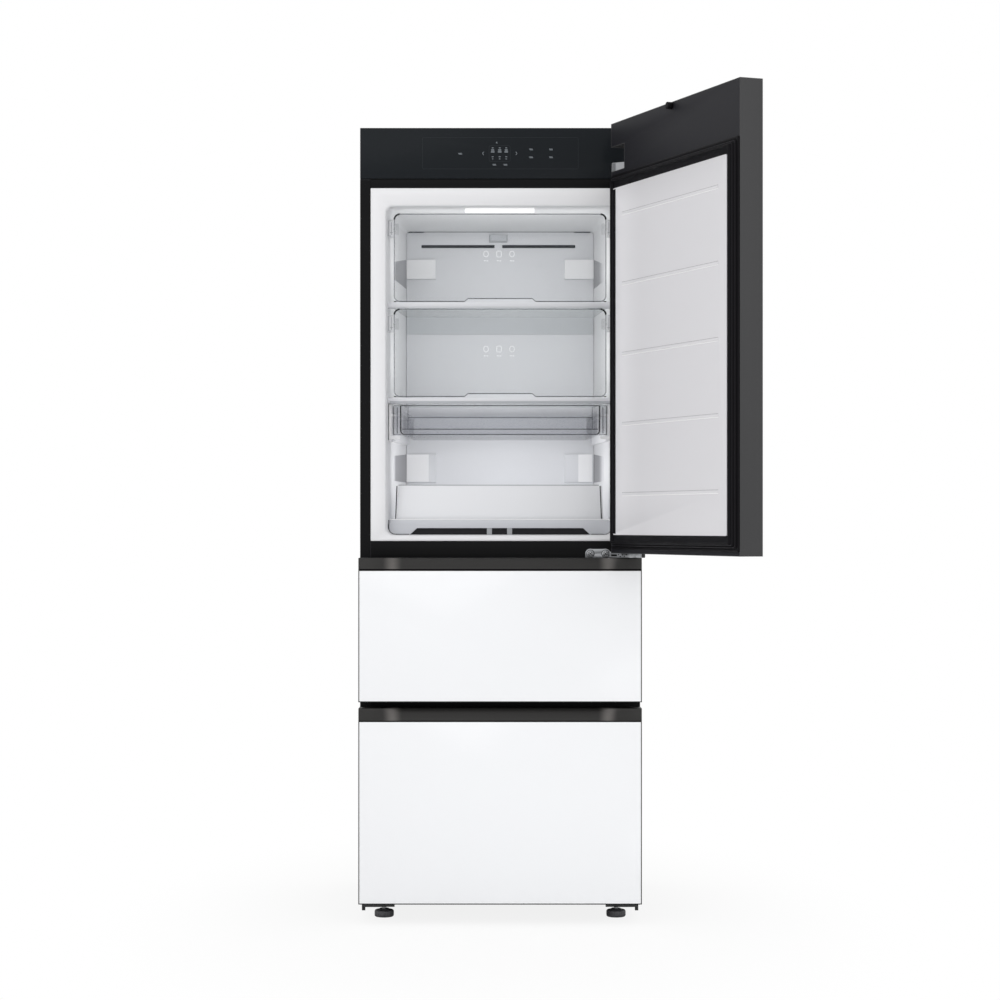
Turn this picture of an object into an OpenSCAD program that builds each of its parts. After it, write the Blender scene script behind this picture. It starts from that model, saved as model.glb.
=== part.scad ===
// Stand-up kimchi refrigerator: one hinged door above two full-width drawers.
// X runs to the right, Y into the cabinet, Z up. The origin lies on the floor, midway between the front feet.

/* [Cabinet] */
// Width of the cabinet, the door and the drawers
cab_w = 660; // [620:1:760]
// Height of the cabinet and of the closed door's top edge
cab_h = 1865; // [1800:1:1950]
// Depth of the cabinet behind its front plane
cab_d = 624; // [600:1:700]
// Height of the cabinet's underside above the floor
base_z = 34; // [30:1:45]
// Thickness of the painted steel skin
skin_t = 1.5; // [1:0.1:2.5]
// Thickness of the moulded inner liners
liner_t = 1.5; // [1:0.1:2.5]
// Depth of the steel cross beams behind the front plane
beam_d = 12; // [8:0.5:20]
// Width of the dark flange down each side of the front
flange_w = 24.5; // [18:0.5:32]
// Distance from the front plane back to the centre of the front feet
foot_inset = 40; // [30:1:60]

/* [Compartments] */
// Bottom edge of the upper opening
upper_z0 = 891; // [870:1:910]
// Height of the cabinet's head above the upper opening
head_h = 141.5; // [130:0.5:160]
// Height of the glass control strip across the head
strip_h = 118; // [105:0.5:125]
// Bottom and top edges of the middle drawer's opening
middle_z0 = 540; // [530:1:560]
middle_z1 = 830; // [800:1:840]
// Bottom and top edges of the bottom drawer's opening
bottom_z0 = 75; // [65:1:90]
bottom_z1 = 475; // [450:1:480]
// Half the width of the upper compartment just behind its lead-in
upper_half_w = 267; // [240:1:267]
// How far each side wall closes in by the rear wall
wall_draft = 30; // [10:1:40]
// Depth of the flared lead-in, and of the shallow dish at its front
leadin_d = 50; // [35:1:60]
lip_d = 11; // [8:0.5:11]
// Depth from the front plane to the rear duct cover
duct_y = 423; // [400:1:430]
// Depth of the space behind the duct cover
duct_space = 84; // [75:1:95]
// Half the width of the drawer compartments
drawer_half_w = 262; // [250:1:265]
// Depth of the drawer compartments
drawer_comp_d = 430; // [420:1:440]

/* [Door] */
// Thickness of the door and drawer fronts
front_t = 53.5; // [45:0.5:60]
// Gap between a closed front and the cabinet, which the gasket fills
gasket_gap = 20; // [16:0.5:24]
// Bottom edge of the door
door_z0 = 863; // [860:0.5:866]
// Angle of the open door in this pose
door_angle = 111.5; // [0:0.5:112]
// Hinge axis from the door's hinge-side edge
hinge_inset = 23.6; // [20:0.1:28]
// Hinge axis behind the door's outer face
hinge_back = 12; // [11:0.1:16]
// Thickness of the glass on the door and drawers
glass_t = 4; // [3:0.5:5]
// Width of the thin edge frame round the glass
edge_t = 1.5; // [1:0.1:3]
// Radius of the hinge pins
pin_r = 3; // [2:0.1:4]
// Radial running clearance of pins in their bushes
pin_clear = 0.05; // [0.02:0.01:0.1]

/* [Drawers] */
// Bottom and top edges of the middle drawer front
mid_front_z0 = 516.3; // [510:0.1:520]
mid_front_z1 = 852.2; // [845:0.1:852.2]
// Bottom and top edges of the bottom drawer front
low_front_z0 = 45.6; // [40:0.1:50]
low_front_z1 = 501.9; // [495:0.1:504]
// Height of the scooped handle channel
handle_h = 30; // [26:0.5:36]
// Radius of the scoop in the handle channel
scoop_r = 30; // [24:0.5:32]
// Height of the cabinet slide rail
rail_h = 44; // [36:1:50]

/* [Interior] */
// Thickness of the clear guard flaps
guard_t = 3; // [2:0.5:4]
// Half the width of the guard flaps
guard_half_w = 253; // [225:1:253]
// Depth from the front plane to the front face of the guard flaps
guard_y = 50; // [50:1:60]
// Distance of the guard pivots below each flap's top edge
pivot_down = 36.3; // [30:0.1:50]
// Heights of the two shelves as shares of the upper opening
shelf1_share = 0.665946; // [0.64:0.000001:0.67]
shelf2_share = 0.392793; // [0.38:0.000001:0.4]
// Height of the shelf trims
trim_h = 12.9; // [10:0.1:13.2]
// Thickness of the glass shelves
shelf_t = 4; // [3:0.5:6]
// Height of the clear drawer
clear_h = 71; // [60:1:73]
// Height of the floor tray's lip above the opening's bottom edge
lip_up = 52; // [47:1:59]
// Height of the leaning guard plate
plate_h = 80; // [60:1:110]

/* [Base] */
// Radius of the levelling feet
foot_r = 23; // [18:0.5:28]
// Height of the foot disc
foot_h = 20; // [14:0.5:24]
// Distance of each front foot from the centreline
foot_x = 275; // [250:1:285]
// Radius of the rear rollers
roller_r = 20; // [16:0.5:24]
// Height of the machine room's ceiling
machine_z1 = 300; // [280:1:330]

/* [Hidden] */
$fn = 48;

half_w = cab_w / 2;
open_half = half_w - flange_w;
liner_flat = 17.5;
front_y = -gasket_gap - front_t;
axis_x = half_w - hinge_inset;
axis_y = front_y + hinge_back;
seat = 0.3;
upper_z1 = cab_h - head_h;
panel_z0 = cab_h - skin_t - strip_h;
band_top = panel_z0 - 1.5;
glass_back = front_y + glass_t;
liner_back = duct_y + duct_space + 8;
rear_half = upper_half_w - wall_draft;
upper_floor = upper_z0 + 15;
upper_ceiling = upper_z1 - 39.5;
ceiling_drop = 14;
foam_in = cab_d - skin_t - seat;
notch_w = 74;
notch_z0 = panel_z0 + 7.5;
notch_z1 = notch_z0 + 57;
gasket_h = gasket_gap - seat;
pocket_t = 1.5;

// Levels in the upper compartment, all tied to the height of its opening
opening_h = upper_z1 - upper_z0;
shelf1_z = upper_z0 + shelf1_share * opening_h;
shelf2_z = upper_z0 + shelf2_share * opening_h;
guard_h = shelf1_z - shelf2_z - trim_h - 4.2;
guard1_z0 = shelf1_z + trim_h + 1;
guard2_z0 = shelf2_z + trim_h + 2.4;
pivot_up = guard_h - pivot_down;
clear_z0 = shelf2_z - clear_h - 5;
tray_z1 = upper_z0 + lip_up;
slot_z = upper_ceiling - 55;
duct_fan_z = upper_ceiling - 124;
coil_z0 = upper_z0 + 0.311 * opening_h;
coil_h = 0.3 * opening_h;

// The machine room behind the bottom drawer's compartment
room_y0 = drawer_comp_d + 20;
room_d = cab_d - skin_t - room_y0;
room_y = room_y0 + room_d / 2;

// Moves a piece drawn from the cabinet's front plane into the frame whose origin is between the feet
module at_front() {
    translate([0, -foot_inset, 0]) children();
}

// Turns a piece drawn on the closed door about the hinge axis into the open pose
module on_door() {
    at_front() translate([axis_x, axis_y, 0]) rotate([0, 0, door_angle]) translate([-axis_x, -axis_y, 0]) children();
}

module box(x0, x1, y0, y1, z0, z1) {
    translate([x0, y0, z0]) cube([x1 - x0, y1 - y0, z1 - z0]);
}

module both_sides() {
    children();
    mirror([1, 0, 0]) children();
}

// A rectangle in X and Z with round corners, extruded back along Y
module slab(x0, x1, z0, z1, y0, y1, r) {
    translate([0, y1, 0]) rotate([90, 0, 0]) linear_extrude(y1 - y0) {
        translate([x0 + r, z0]) square([x1 - x0 - 2 * r, z1 - z0]);
        translate([x0, z0 + r]) square([x1 - x0, z1 - z0 - 2 * r]);
        for (x = [x0 + r, x1 - r], z = [z0 + r, z1 - r]) translate([x, z]) circle(r);
    }
}

// A profile in Y and Z, extruded across from x0 to x1
module across(x0, x1) {
    translate([x0, 0, 0]) rotate([90, 0, 90]) linear_extrude(x1 - x0) children();
}

// ---- Cabinet shell ----

// One folded steel side: the side sheet and its narrow front flange
module side_skin() {
    box(-half_w, -half_w + skin_t, 0, cab_d - skin_t, base_z, band_top);
    box(-half_w, -half_w + skin_t, glass_t + seat, cab_d - skin_t, band_top, cab_h - skin_t);
    box(-half_w, -open_half, 0, skin_t, base_z, band_top);
}

module side_skin_left() {
    color("#2a2b2d") at_front() side_skin();
}

module side_skin_right() {
    color("#2a2b2d") at_front() mirror([1, 0, 0]) side_skin();
}

module top_panel() {
    color("#2a2b2d") at_front() box(-half_w, half_w, 0, cab_d, cab_h - skin_t, cab_h);
}

module back_panel() {
    color("#8d9094") at_front() difference() {
        box(-half_w, half_w, cab_d - skin_t, cab_d, machine_z1, cab_h - skin_t);
        for (x = [-200 : 80 : 200]) box(x - 12, x + 12, cab_d - 1, cab_d + 1, machine_z1 + 60, cab_h - 90);
    }
}

// The four cross beams that tie the sides together between the compartments
module front_beams() {
    color("#17171a") at_front() {
        box(-open_half, open_half, 0, beam_d, upper_z1, band_top);
        box(-open_half, open_half, 0, beam_d, middle_z1, upper_z0);
        box(-open_half, open_half, 0, beam_d, bottom_z1, middle_z0);
        box(-open_half, open_half, 0, beam_d, base_z, bottom_z0);
    }
}

// The plan of one side's insulation beside the tapered upper compartment
function side_plan(lead_w, near_w, far_w, back) = [
    [-half_w + skin_t, skin_t], [-lead_w, skin_t], [-lead_w, beam_d], [-near_w, leadin_d],
    [-far_w, back], [-far_w, foam_in], [-half_w + skin_t, foam_in]];

module side_foams() {
    grow = liner_t + seat;
    color("#e8dfb0") at_front() both_sides() {
        translate([0, 0, upper_z0 + 0.5]) linear_extrude(band_top - upper_z0 - 0.5)
            polygon(side_plan(open_half + grow, upper_half_w + grow + 1, rear_half + grow + 1, duct_y));
        translate([0, 0, base_z + 12]) linear_extrude(upper_z0 - base_z - 12)
            polygon(side_plan(open_half + grow, drawer_half_w + grow, drawer_half_w + grow, duct_y));
    }
}

module back_foam() {
    inner = rear_half + liner_t;
    color("#e8dfb0") at_front() {
        box(-inner, inner, liner_back + liner_t + seat, foam_in, upper_z0 + 1, band_top);
        box(-drawer_half_w, drawer_half_w, drawer_comp_d + liner_t + seat, foam_in, machine_z1 + 2, upper_z0 + 0.5);
        box(-drawer_half_w, drawer_half_w, drawer_comp_d + liner_t + seat, room_y0, base_z + 12, machine_z1);
    }
}

// The insulation above the upper compartment, in the partitions between the drawers and under the floor
module cross_foams() {
    inner = rear_half + liner_t;
    color("#e8dfb0") at_front() {
        box(-half_w + skin_t, half_w - skin_t, 60.5, foam_in, band_top + seat, cab_h - skin_t - seat);
        box(-inner, inner, leadin_d + 4, liner_back + liner_t, upper_ceiling + liner_t + 1, band_top);
        box(-drawer_half_w, drawer_half_w, beam_d, drawer_comp_d, middle_z1 + liner_t + seat, upper_z0 - liner_t - 1);
        box(-drawer_half_w, drawer_half_w, beam_d, drawer_comp_d, bottom_z1 + liner_t + seat, middle_z0 - liner_t - seat);
        box(-drawer_half_w, drawer_half_w, beam_d, drawer_comp_d, base_z + 12, bottom_z0 - liner_t - seat);
    }
}

// The space inside the upper compartment, grown by g on every side
module upper_space(g, front) {
    flat_half = open_half - liner_flat;
    lip_half = upper_half_w + 4;
    hull() {
        slab(-flat_half - g, flat_half + g, upper_z0 + 6 - g, upper_z1 - 16 + g, front, front + 0.5, 8);
        slab(-lip_half - g, lip_half + g, upper_floor - 1 - g, upper_ceiling + 4 + g, lip_d, lip_d + 0.5, 18);
    }
    hull() {
        slab(-lip_half - g, lip_half + g, upper_floor - 1 - g, upper_ceiling + 4 + g, lip_d, lip_d + 0.5, 18);
        slab(-upper_half_w - g, upper_half_w + g, upper_floor - g, upper_ceiling + g, leadin_d, leadin_d + 0.5, 19);
    }
    hull() {
        slab(-upper_half_w - g, upper_half_w + g, upper_floor - g, upper_ceiling + g, leadin_d, leadin_d + 0.5, 19);
        slab(-rear_half - g, rear_half + g, upper_floor - g, upper_ceiling - ceiling_drop + g, duct_y, duct_y + 0.5, 10);
    }
    slab(-rear_half - g, rear_half + g, upper_floor - g, upper_ceiling - ceiling_drop + g, duct_y, liner_back + g, 10);
}

module upper_liner() {
    color("#f0f0f2") at_front() difference() {
        union() {
            intersection() {
                upper_space(liner_t, beam_d);
                box(-open_half, open_half, beam_d, cab_d, upper_z0, upper_z1);
            }
            box(-open_half, open_half, 0, beam_d, upper_z0 + seat, upper_z1 - seat);
        }
        upper_space(0, -0.5);
    }
}

module drawer_liner(z0, z1) {
    lead = liner_flat;
    difference() {
        union() {
            slab(-open_half, open_half, z0 + seat, z1 - seat, 0, skin_t, 4);
            slab(-drawer_half_w - liner_t, drawer_half_w + liner_t, z0 - liner_t + 2 * liner_t,
                z1 - liner_t, 0, drawer_comp_d + liner_t, 10);
        }
        slab(-drawer_half_w, drawer_half_w, z0 + 2 * liner_t, z1 - 2 * liner_t, -1, drawer_comp_d, 10);
    }
}

module middle_liner() {
    color("#e9e9eb") at_front() drawer_liner(middle_z0, middle_z1);
}

module bottom_liner() {
    color("#e9e9eb") at_front() drawer_liner(bottom_z0, bottom_z1);
}

// ---- Control strip ----

module control_glass() {
    color("#24272b") at_front() difference() {
        box(-half_w, half_w, 0, glass_t, panel_z0, cab_h - skin_t);
        box(axis_x - 44.6, half_w + 1, -1, glass_t + 1, panel_z0 - 1, notch_z0 + 24.3);
    }
}

module control_housing() {
    color("#1b1c1e") at_front() difference() {
        box(-half_w + skin_t, half_w - skin_t, glass_t, 60, panel_z0, cab_h - skin_t);
        box(-200, 200, glass_t + 2, 58, panel_z0 + 20, cab_h - 30);
    }
}

// ---- Rear duct ----

module duct_cover() {
    pad_x = rear_half - 75;
    pad_y = duct_y - 9;
    color("#dcdde0") at_front() difference() {
        union() {
            slab(-rear_half + 0.5, rear_half - 0.5, upper_floor + 0.5, upper_ceiling - ceiling_drop - 0.5,
                duct_y, duct_y + 8, 9);
            both_sides() {
                box(-rear_half + 0.5, -pad_x, pad_y, duct_y, slot_z - 79.4, slot_z - 30);
                box(-rear_half + 0.5, -pad_x, pad_y, duct_y, clear_z0 - 105, clear_z0 - 34);
            }
            translate([0, duct_y + 8, duct_fan_z]) rotate([-90, 0, 0]) cylinder(h = 18, r = 22);
            translate([0, duct_y + 8, duct_fan_z]) rotate([-90, 0, 0]) cylinder(h = 50, r = pin_r);
        }
        box(-rear_half + 38, -14, duct_y - 1, duct_y + 9, slot_z, slot_z + 7.7);
        box(5.3, rear_half - 47, duct_y - 1, duct_y + 9, slot_z, slot_z + 7.7);
    }
}

module sensor_cap() {
    color("#e3e4e6") at_front() difference() {
        slab(-25, 17, slot_z + 16, slot_z + 33, duct_y - 7, duct_y, 3);
        slab(-21, 13, slot_z + 19, slot_z + 30, duct_y - 8, duct_y - 5.5, 1.5);
    }
}

module ceiling_lamp() {
    color("#ffffff") at_front() slab(-84, 82, upper_ceiling - 9, upper_ceiling - 1.6, leadin_d + 8, leadin_d + 30, 3);
}

module evaporator() {
    fin_y0 = duct_y + 14;
    fin_y1 = liner_back - 20;
    coil_half = rear_half - 37;
    fin_step = (coil_half - 10) / 10;
    color("#b9bcc0") at_front() {
        for (i = [-10 : 10]) box(i * fin_step, i * fin_step + 1.5, fin_y0, fin_y1, coil_z0, coil_z0 + coil_h);
        for (i = [0 : 4], y = [fin_y0 + 14, fin_y1 - 14])
            translate([-coil_half + 4, y, coil_z0 + (0.1 + 0.2 * i) * coil_h]) rotate([0, 90, 0])
                cylinder(h = 2 * coil_half - 8, r = 4);
        both_sides() box(-coil_half, -coil_half + 4, fin_y0, liner_back, coil_z0 - 10, coil_z0 + coil_h + 10);
    }
}

// A fan with a hub and pitched blades, turning about Z at the origin
module fan(r, depth) {
    difference() {
        union() {
            cylinder(h = depth, r = r * 0.32);
            for (i = [0 : 4]) rotate([0, 0, i * 72]) translate([0, 0, depth / 2]) rotate([28, 0, 0])
                translate([r * 0.25, -r * 0.3, -1]) cube([r * 0.7, r * 0.6, 2]);
        }
        translate([0, 0, -1]) cylinder(h = depth + 2, r = pin_r + pin_clear);
    }
}

module evaporator_fan() {
    color("#d8d9db") at_front() translate([0, duct_y + 27, duct_fan_z]) rotate([-90, 0, 0]) fan(58, 24);
}

// ---- Shelves, guards and trays ----

function wall_half(y) = upper_half_w - wall_draft * (y - leadin_d) / (duct_y - leadin_d);

// The plan of a shelf that follows the tapered walls with the given gap
module shelf_plan(y0, y1, gap) {
    polygon([[-wall_half(y0) + gap, y0], [wall_half(y0) - gap, y0],
        [wall_half(y1) - gap, y1], [-wall_half(y1) + gap, y1]]);
}

module shelf_panes() {
    color([0.85, 0.9, 0.92, 0.6]) at_front() for (z = [shelf1_z, shelf2_z])
        translate([0, 0, z + trim_h - shelf_t - 2]) linear_extrude(shelf_t)
            shelf_plan(guard_y + guard_t + 22, duct_y - 10, 0.6);
}

// The white trim carries the front edge of each pane
module shelf_trims() {
    color("#e9eaec") at_front() for (z = [shelf1_z, shelf2_z]) difference() {
        union() {
            translate([0, 0, z]) linear_extrude(trim_h) shelf_plan(guard_y - 2, guard_y + guard_t + 25, 0.6);
        }
        translate([0, 0, z + trim_h - shelf_t - 2]) linear_extrude(shelf_t)
            shelf_plan(guard_y + guard_t + 22, duct_y - 10, 0.6);
        across(-upper_half_w + 20, upper_half_w - 20)
            translate([guard_y + guard_t + 10, z - 1]) square([16, 5]);
    }
}

// A clear lift-up flap with a raised grip notch and its two pivot pins
module guard(z0) {
    pin_reach = 4.5;
    at_front() {
        difference() {
            slab(-guard_half_w, guard_half_w, z0, z0 + guard_h, guard_y, guard_y + guard_t, 14);
            hull() {
                box(-84, 84, guard_y - 1, guard_y + guard_t + 1, z0 - 1, z0 + 0.5);
                box(-76, 76, guard_y - 1, guard_y + guard_t + 1, z0 + 6, z0 + 7);
            }
        }
        both_sides() {
            box(-guard_half_w - 1, -guard_half_w + 12, guard_y, guard_y + guard_t + 5, z0 + pivot_up - 14, z0 + pivot_up + 14);
            translate([-guard_half_w - pin_reach, guard_y + 4, z0 + pivot_up]) rotate([0, 90, 0])
                cylinder(h = pin_reach, r = pin_r);
        }
    }
}

module guard_upper() {
    color([0.75, 0.78, 0.81, 0.45]) guard(guard1_z0);
}

module guard_lower() {
    color([0.75, 0.78, 0.81, 0.45]) guard(guard2_z0);
}

module guard_brackets() {
    reach = guard_half_w + 1.5;
    color("#d4d6d9") at_front() both_sides() for (z0 = [guard1_z0, guard2_z0]) difference() {
        translate([0, 0, z0 + pivot_up - 19]) linear_extrude(41) polygon([
            [-wall_half(guard_y) + seat, guard_y], [-reach, guard_y],
            [-reach, guard_y + 16], [-wall_half(guard_y + 16) + seat, guard_y + 16]]);
        translate([-guard_half_w - 6, guard_y + 4, z0 + pivot_up]) rotate([0, 90, 0])
            cylinder(h = 8, r = pin_r + pin_clear);
    }
}

// The clear drawer's flanges ride on a ledge along each side wall
ledge_up = clear_h - 20;
clear_half = upper_half_w - 34;
clear_back = duct_y - 33;
clear_taper = 13;

module clear_drawer() {
    front_half = guard_half_w - 0.5;
    wall = 2.5;
    y0 = guard_y + 6;
    back_half = clear_half - clear_taper;
    z1 = clear_z0 + clear_h;
    color([0.66, 0.68, 0.72, 0.5]) at_front() {
        difference() {
            slab(-front_half, front_half, clear_z0, z1, guard_y, y0, 3);
            box(-clear_half + 4, clear_half - 4, guard_y + wall, y0 + 1, clear_z0 + 8, z1 - 28);
        }
        difference() {
            translate([0, 0, clear_z0]) linear_extrude(clear_h - 12)
                polygon([[-clear_half, y0], [clear_half, y0], [back_half, clear_back], [-back_half, clear_back]]);
            translate([0, 0, clear_z0 + wall]) linear_extrude(clear_h)
                polygon([[-clear_half + wall, y0 - 1], [clear_half - wall, y0 - 1],
                    [back_half - wall, clear_back - wall], [-back_half + wall, clear_back - wall]]);
        }
        both_sides() translate([0, 0, clear_z0 + ledge_up]) linear_extrude(wall)
            polygon([[-clear_half - 14, y0], [-clear_half, y0], [-back_half, clear_back], [-back_half - 6, clear_back]]);
    }
}

// Each guide is an upright along the side wall with the ledge that carries the drawer's flange
module drawer_guides() {
    y0 = guard_y + 8;
    y1 = duct_y - 10;
    back_half = clear_half - clear_taper;
    color("#f0f1f3") at_front() both_sides() {
        translate([0, 0, clear_z0 + ledge_up - 5]) linear_extrude(5 - seat) polygon([
            [-wall_half(y0) + seat, y0], [-clear_half - 4, y0], [-back_half - 3, y1], [-wall_half(y1) + seat, y1]]);
        translate([0, 0, clear_z0 - 12]) linear_extrude(clear_h + 15) polygon([
            [-wall_half(y0) + seat, y0], [-wall_half(y0) + 9, y0], [-wall_half(y1) + 7, y1], [-wall_half(y1) + seat, y1]]);
    }
}

// The tray on the compartment floor: a lip with round lower corners and a long recess with two posts
module floor_tray() {
    lip_half = upper_half_w - 2.5;
    floor_z = tray_z1 - 16;
    recess_top = upper_floor + 15.5;
    recess_half = 0.74 * upper_half_w;
    color("#d4d6db") at_front() {
        difference() {
            slab(-lip_half, lip_half, upper_floor + 1, tray_z1, guard_y, guard_y + 5, 15);
            translate([0, guard_y + 6, 0]) rotate([90, 0, 0]) linear_extrude(8)
                polygon([[-recess_half - 16.4, upper_floor], [-recess_half, recess_top],
                    [recess_half, recess_top], [recess_half + 16.4, upper_floor]]);
            box(-lip_half - 1, lip_half + 1, guard_y + 6, guard_y + 9, tray_z1 - 13, tray_z1 + 1);
        }
        translate([0, 0, floor_z - 3]) linear_extrude(3) shelf_plan(guard_y + 5, duct_y - 12, 2.5);
        difference() {
            translate([0, 0, floor_z - 3]) linear_extrude(7) shelf_plan(guard_y + 5, duct_y - 12, 2.5);
            translate([0, 0, floor_z]) linear_extrude(12) shelf_plan(guard_y - 9, duct_y - 15, 5.5);
        }
        for (x = [-31, 17]) box(x, x + 12, guard_y + 5, guard_y + 17, upper_floor + seat, floor_z - 3);
        for (x = [-200, 180]) box(x, x + 20, duct_y - 50, duct_y - 20, upper_floor + seat, floor_z - 3);
    }
}

module guard_plate() {
    lean = 12;
    plate_half = upper_half_w - 21;
    foot_y = guard_y + 7;
    floor_z = tray_z1 - 16;
    color("#f4f4f6") at_front() hull() {
        box(-plate_half, plate_half, foot_y, foot_y + 3, floor_z + seat, floor_z + 2);
        box(-plate_half + 3, plate_half - 3, foot_y + lean, foot_y + lean + 3, tray_z1 + plate_h - 2, tray_z1 + plate_h);
    }
}

// ---- Door ----

module door_glass() {
    color("#f6f6f8") on_door()
        box(-half_w + edge_t, half_w - edge_t, front_y, glass_back, door_z0 + edge_t, cab_h - edge_t);
}

// The notch on the hinge side that the upper hinge arm sits in, grown by g for its moulded pocket
module hinge_notch(g) {
    box(half_w - notch_w - g, half_w + 1, glass_back + pocket_t - g, 1, notch_z0 - g, notch_z1 + g);
}

module front_ring(z0, z1) {
    difference() {
        box(-half_w, half_w, front_y, -gasket_gap, z0, z1);
        box(-half_w + edge_t, half_w - edge_t, front_y - 1, 1, z0 + edge_t, z1 - edge_t);
    }
}

module door_frame() {
    color("#4c4c4d") on_door() difference() {
        union() {
            front_ring(door_z0, cab_h);
            intersection() {
                hinge_notch(pocket_t);
                box(-half_w, half_w - edge_t, glass_back, -gasket_gap, door_z0, cab_h);
            }
        }
        hinge_notch(0);
        translate([axis_x, axis_y, door_z0 - 1]) cylinder(h = 4, r = 5.6);
        translate([axis_x, axis_y, notch_z0 - 4]) cylinder(h = 6, r = 5.6);
    }
}

module door_core() {
    color("#e8dfb0") on_door() difference() {
        box(-half_w + edge_t, half_w - edge_t, glass_back, -gasket_gap - 2, door_z0 + edge_t, cab_h - edge_t);
        hinge_notch(pocket_t);
        translate([axis_x, axis_y, door_z0 - 1]) cylinder(h = 26, r = 5.5);
        translate([axis_x, axis_y, notch_z0 - 20]) cylinder(h = 21, r = 5.5);
    }
}

module door_base() {
    color("#39393c") on_door() difference() {
        box(-half_w + edge_t, half_w - edge_t, -gasket_gap - 2, -gasket_gap, door_z0 + edge_t, cab_h - edge_t);
        hinge_notch(pocket_t);
    }
}

// A stepped gasket ring, highest beside the inner plate; each step is [inset from the edge, height].
// On the free side the ring can lie nearer to the edge by the given shift.
module gasket(z0, z1, steps, inner, shift) {
    difference() {
        for (s = steps)
            slab(-half_w + s[0] - shift, half_w - s[0], z0 + s[0] - 8, z1 - s[0] + 8, -gasket_gap, -gasket_gap + s[1], 4);
        slab(-half_w + inner - shift, half_w - inner, z0 + inner - 8, z1 - inner + 8, -gasket_gap - 1, 1, 4);
    }
}

gasket_steps = [[8, 4], [17, 8], [26, 13], [36, gasket_h]];
gasket_inner = 41;
free_shift = 7;

module door_gasket() {
    color("#1c1b1e") on_door() gasket(door_z0 + 9, band_top - 1, gasket_steps, gasket_inner, free_shift);
}

// The white inner plate with five shallow raised ribs
module door_liner() {
    inset = gasket_inner + 0.5;
    free_x = -half_w + inset - free_shift;
    plate_z0 = door_z0 + 43;
    plate_z1 = band_top - 35.5;
    plate_y = -gasket_gap + 14;
    rib_x0 = free_x + 39;
    rib_l = half_w - inset - 51 - rib_x0;
    rib_step = (plate_z1 - plate_z0 - 157.5) / 4;
    color("#d8d7da") on_door() {
        slab(free_x, half_w - inset, plate_z0, plate_z1, -gasket_gap, plate_y, 5);
        for (i = [0 : 4]) translate([rib_x0, plate_y, plate_z0 + 94 + i * rib_step])
            rotate([0, 90, 0]) intersection() {
                cylinder(h = rib_l, r = 3);
                translate([-3, -1.5, 0]) cube([6, 3, cab_w]);
            }
    }
}

// The rubber bumper on the inner plate, midway along the door's top edge
module door_bumper() {
    bumper_r = 8;
    color("#161617") on_door() translate([0, -gasket_gap, cab_h - bumper_r - 0.6]) rotate([-90, 0, 0])
        cylinder(h = 13, r = bumper_r);
}

module hinge_bush(z0, h) {
    translate([axis_x, axis_y, z0]) difference() {
        cylinder(h = h, r = 5.5);
        translate([0, 0, -1]) cylinder(h = h + 2, r = pin_r + pin_clear);
    }
}

module hinge_bushes() {
    color("#9a9b9d") on_door() {
        hinge_bush(door_z0, 22);
        hinge_bush(notch_z0 - 20, 20);
    }
}

// The arm leaves the pin towards the cabinet inside the notch, so that it clears the turning door
module upper_hinge() {
    arm_z0 = notch_z0 + 0.7;
    arm_h = 23;
    leg_x = axis_x - 34;
    color("#b8babd") at_front() {
        translate([0, 0, arm_z0]) linear_extrude(arm_h) {
            translate([axis_x, axis_y]) circle(6);
            polygon([[axis_x - 4, axis_y - 4.5], [axis_x + 4, axis_y + 4.5], [leg_x + 10, axis_y + 34], [leg_x + 10, glass_t],
                [leg_x - 10, glass_t], [leg_x - 10, axis_y + 22]]);
        }
        translate([axis_x, axis_y, notch_z0 - 18]) cylinder(h = 20, r = pin_r);
        box(axis_x - 44, half_w - 4, 0, glass_t, panel_z0 + 2, notch_z0 + 23.7);
    }
}

screw_x = [axis_x - 93.8, axis_x - 58.4];
screw_z = door_z0 - 2;

module lower_hinge() {
    arm_z0 = mid_front_z1 + seat;
    plate_z1 = door_z0 + 11;
    knee_x = axis_x - 16.4;
    color("#bfc1c4") at_front() {
        difference() {
            union() {
                for (x = screw_x) translate([x, 0, screw_z]) rotate([90, 0, 0]) cylinder(h = 3, r = 8.4);
                box(screw_x[0], screw_x[1], -3, 0, arm_z0, plate_z1 - 1.5);
                for (x = screw_x) box(x - 12, x + 12, -3, 0, arm_z0, screw_z);
                for (x = screw_x) translate([x, 0, screw_z]) intersection() {
                    rotate([90, 0, 0]) cylinder(h = 3, r = 12);
                    box(-12, 12, -3, 0, 0, plate_z1 - screw_z);
                }
                box(screw_x[1], knee_x, -3, 0, arm_z0, door_z0 + 3);
            }
            for (x = screw_x) translate([x, 1, screw_z]) rotate([90, 0, 0]) cylinder(h = 5, r = 2.6);
        }
        translate([0, 0, arm_z0]) linear_extrude(door_z0 - seat - arm_z0) {
            translate([axis_x, axis_y]) circle(11);
            polygon([[knee_x - 34, -3], [knee_x, -3], [axis_x + 11, axis_y], [axis_x, axis_y - 11], [axis_x - 9, axis_y - 7]]);
            translate([axis_x, axis_y - 6]) square([half_w - axis_x, 12]);
        }
        translate([axis_x, axis_y, arm_z0]) cylinder(h = 29, r = pin_r);
    }
}

module hinge_screws() {
    color("#8f9194") at_front() for (x = screw_x) {
        translate([x, -3, screw_z]) rotate([90, 0, 0]) cylinder(h = 1, r = 8);
        translate([x, -4, screw_z]) rotate([90, 0, 0]) cylinder(h = 2.4, r = 6);
        translate([x, 0, screw_z]) rotate([90, 0, 0]) cylinder(h = 3, r = 2.5);
    }
}

module hinge_stop() {
    color("#141415") at_front()
        slab(half_w, half_w + 8, mid_front_z1 + seat, door_z0 - seat, axis_y - 8, axis_y + 8, 2);
}

// ---- Drawers ----

module drawer_glass(z0, z1) {
    box(-half_w + edge_t, half_w - edge_t, front_y, glass_back, z0 + edge_t, z1 - handle_h - seat);
}

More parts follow.
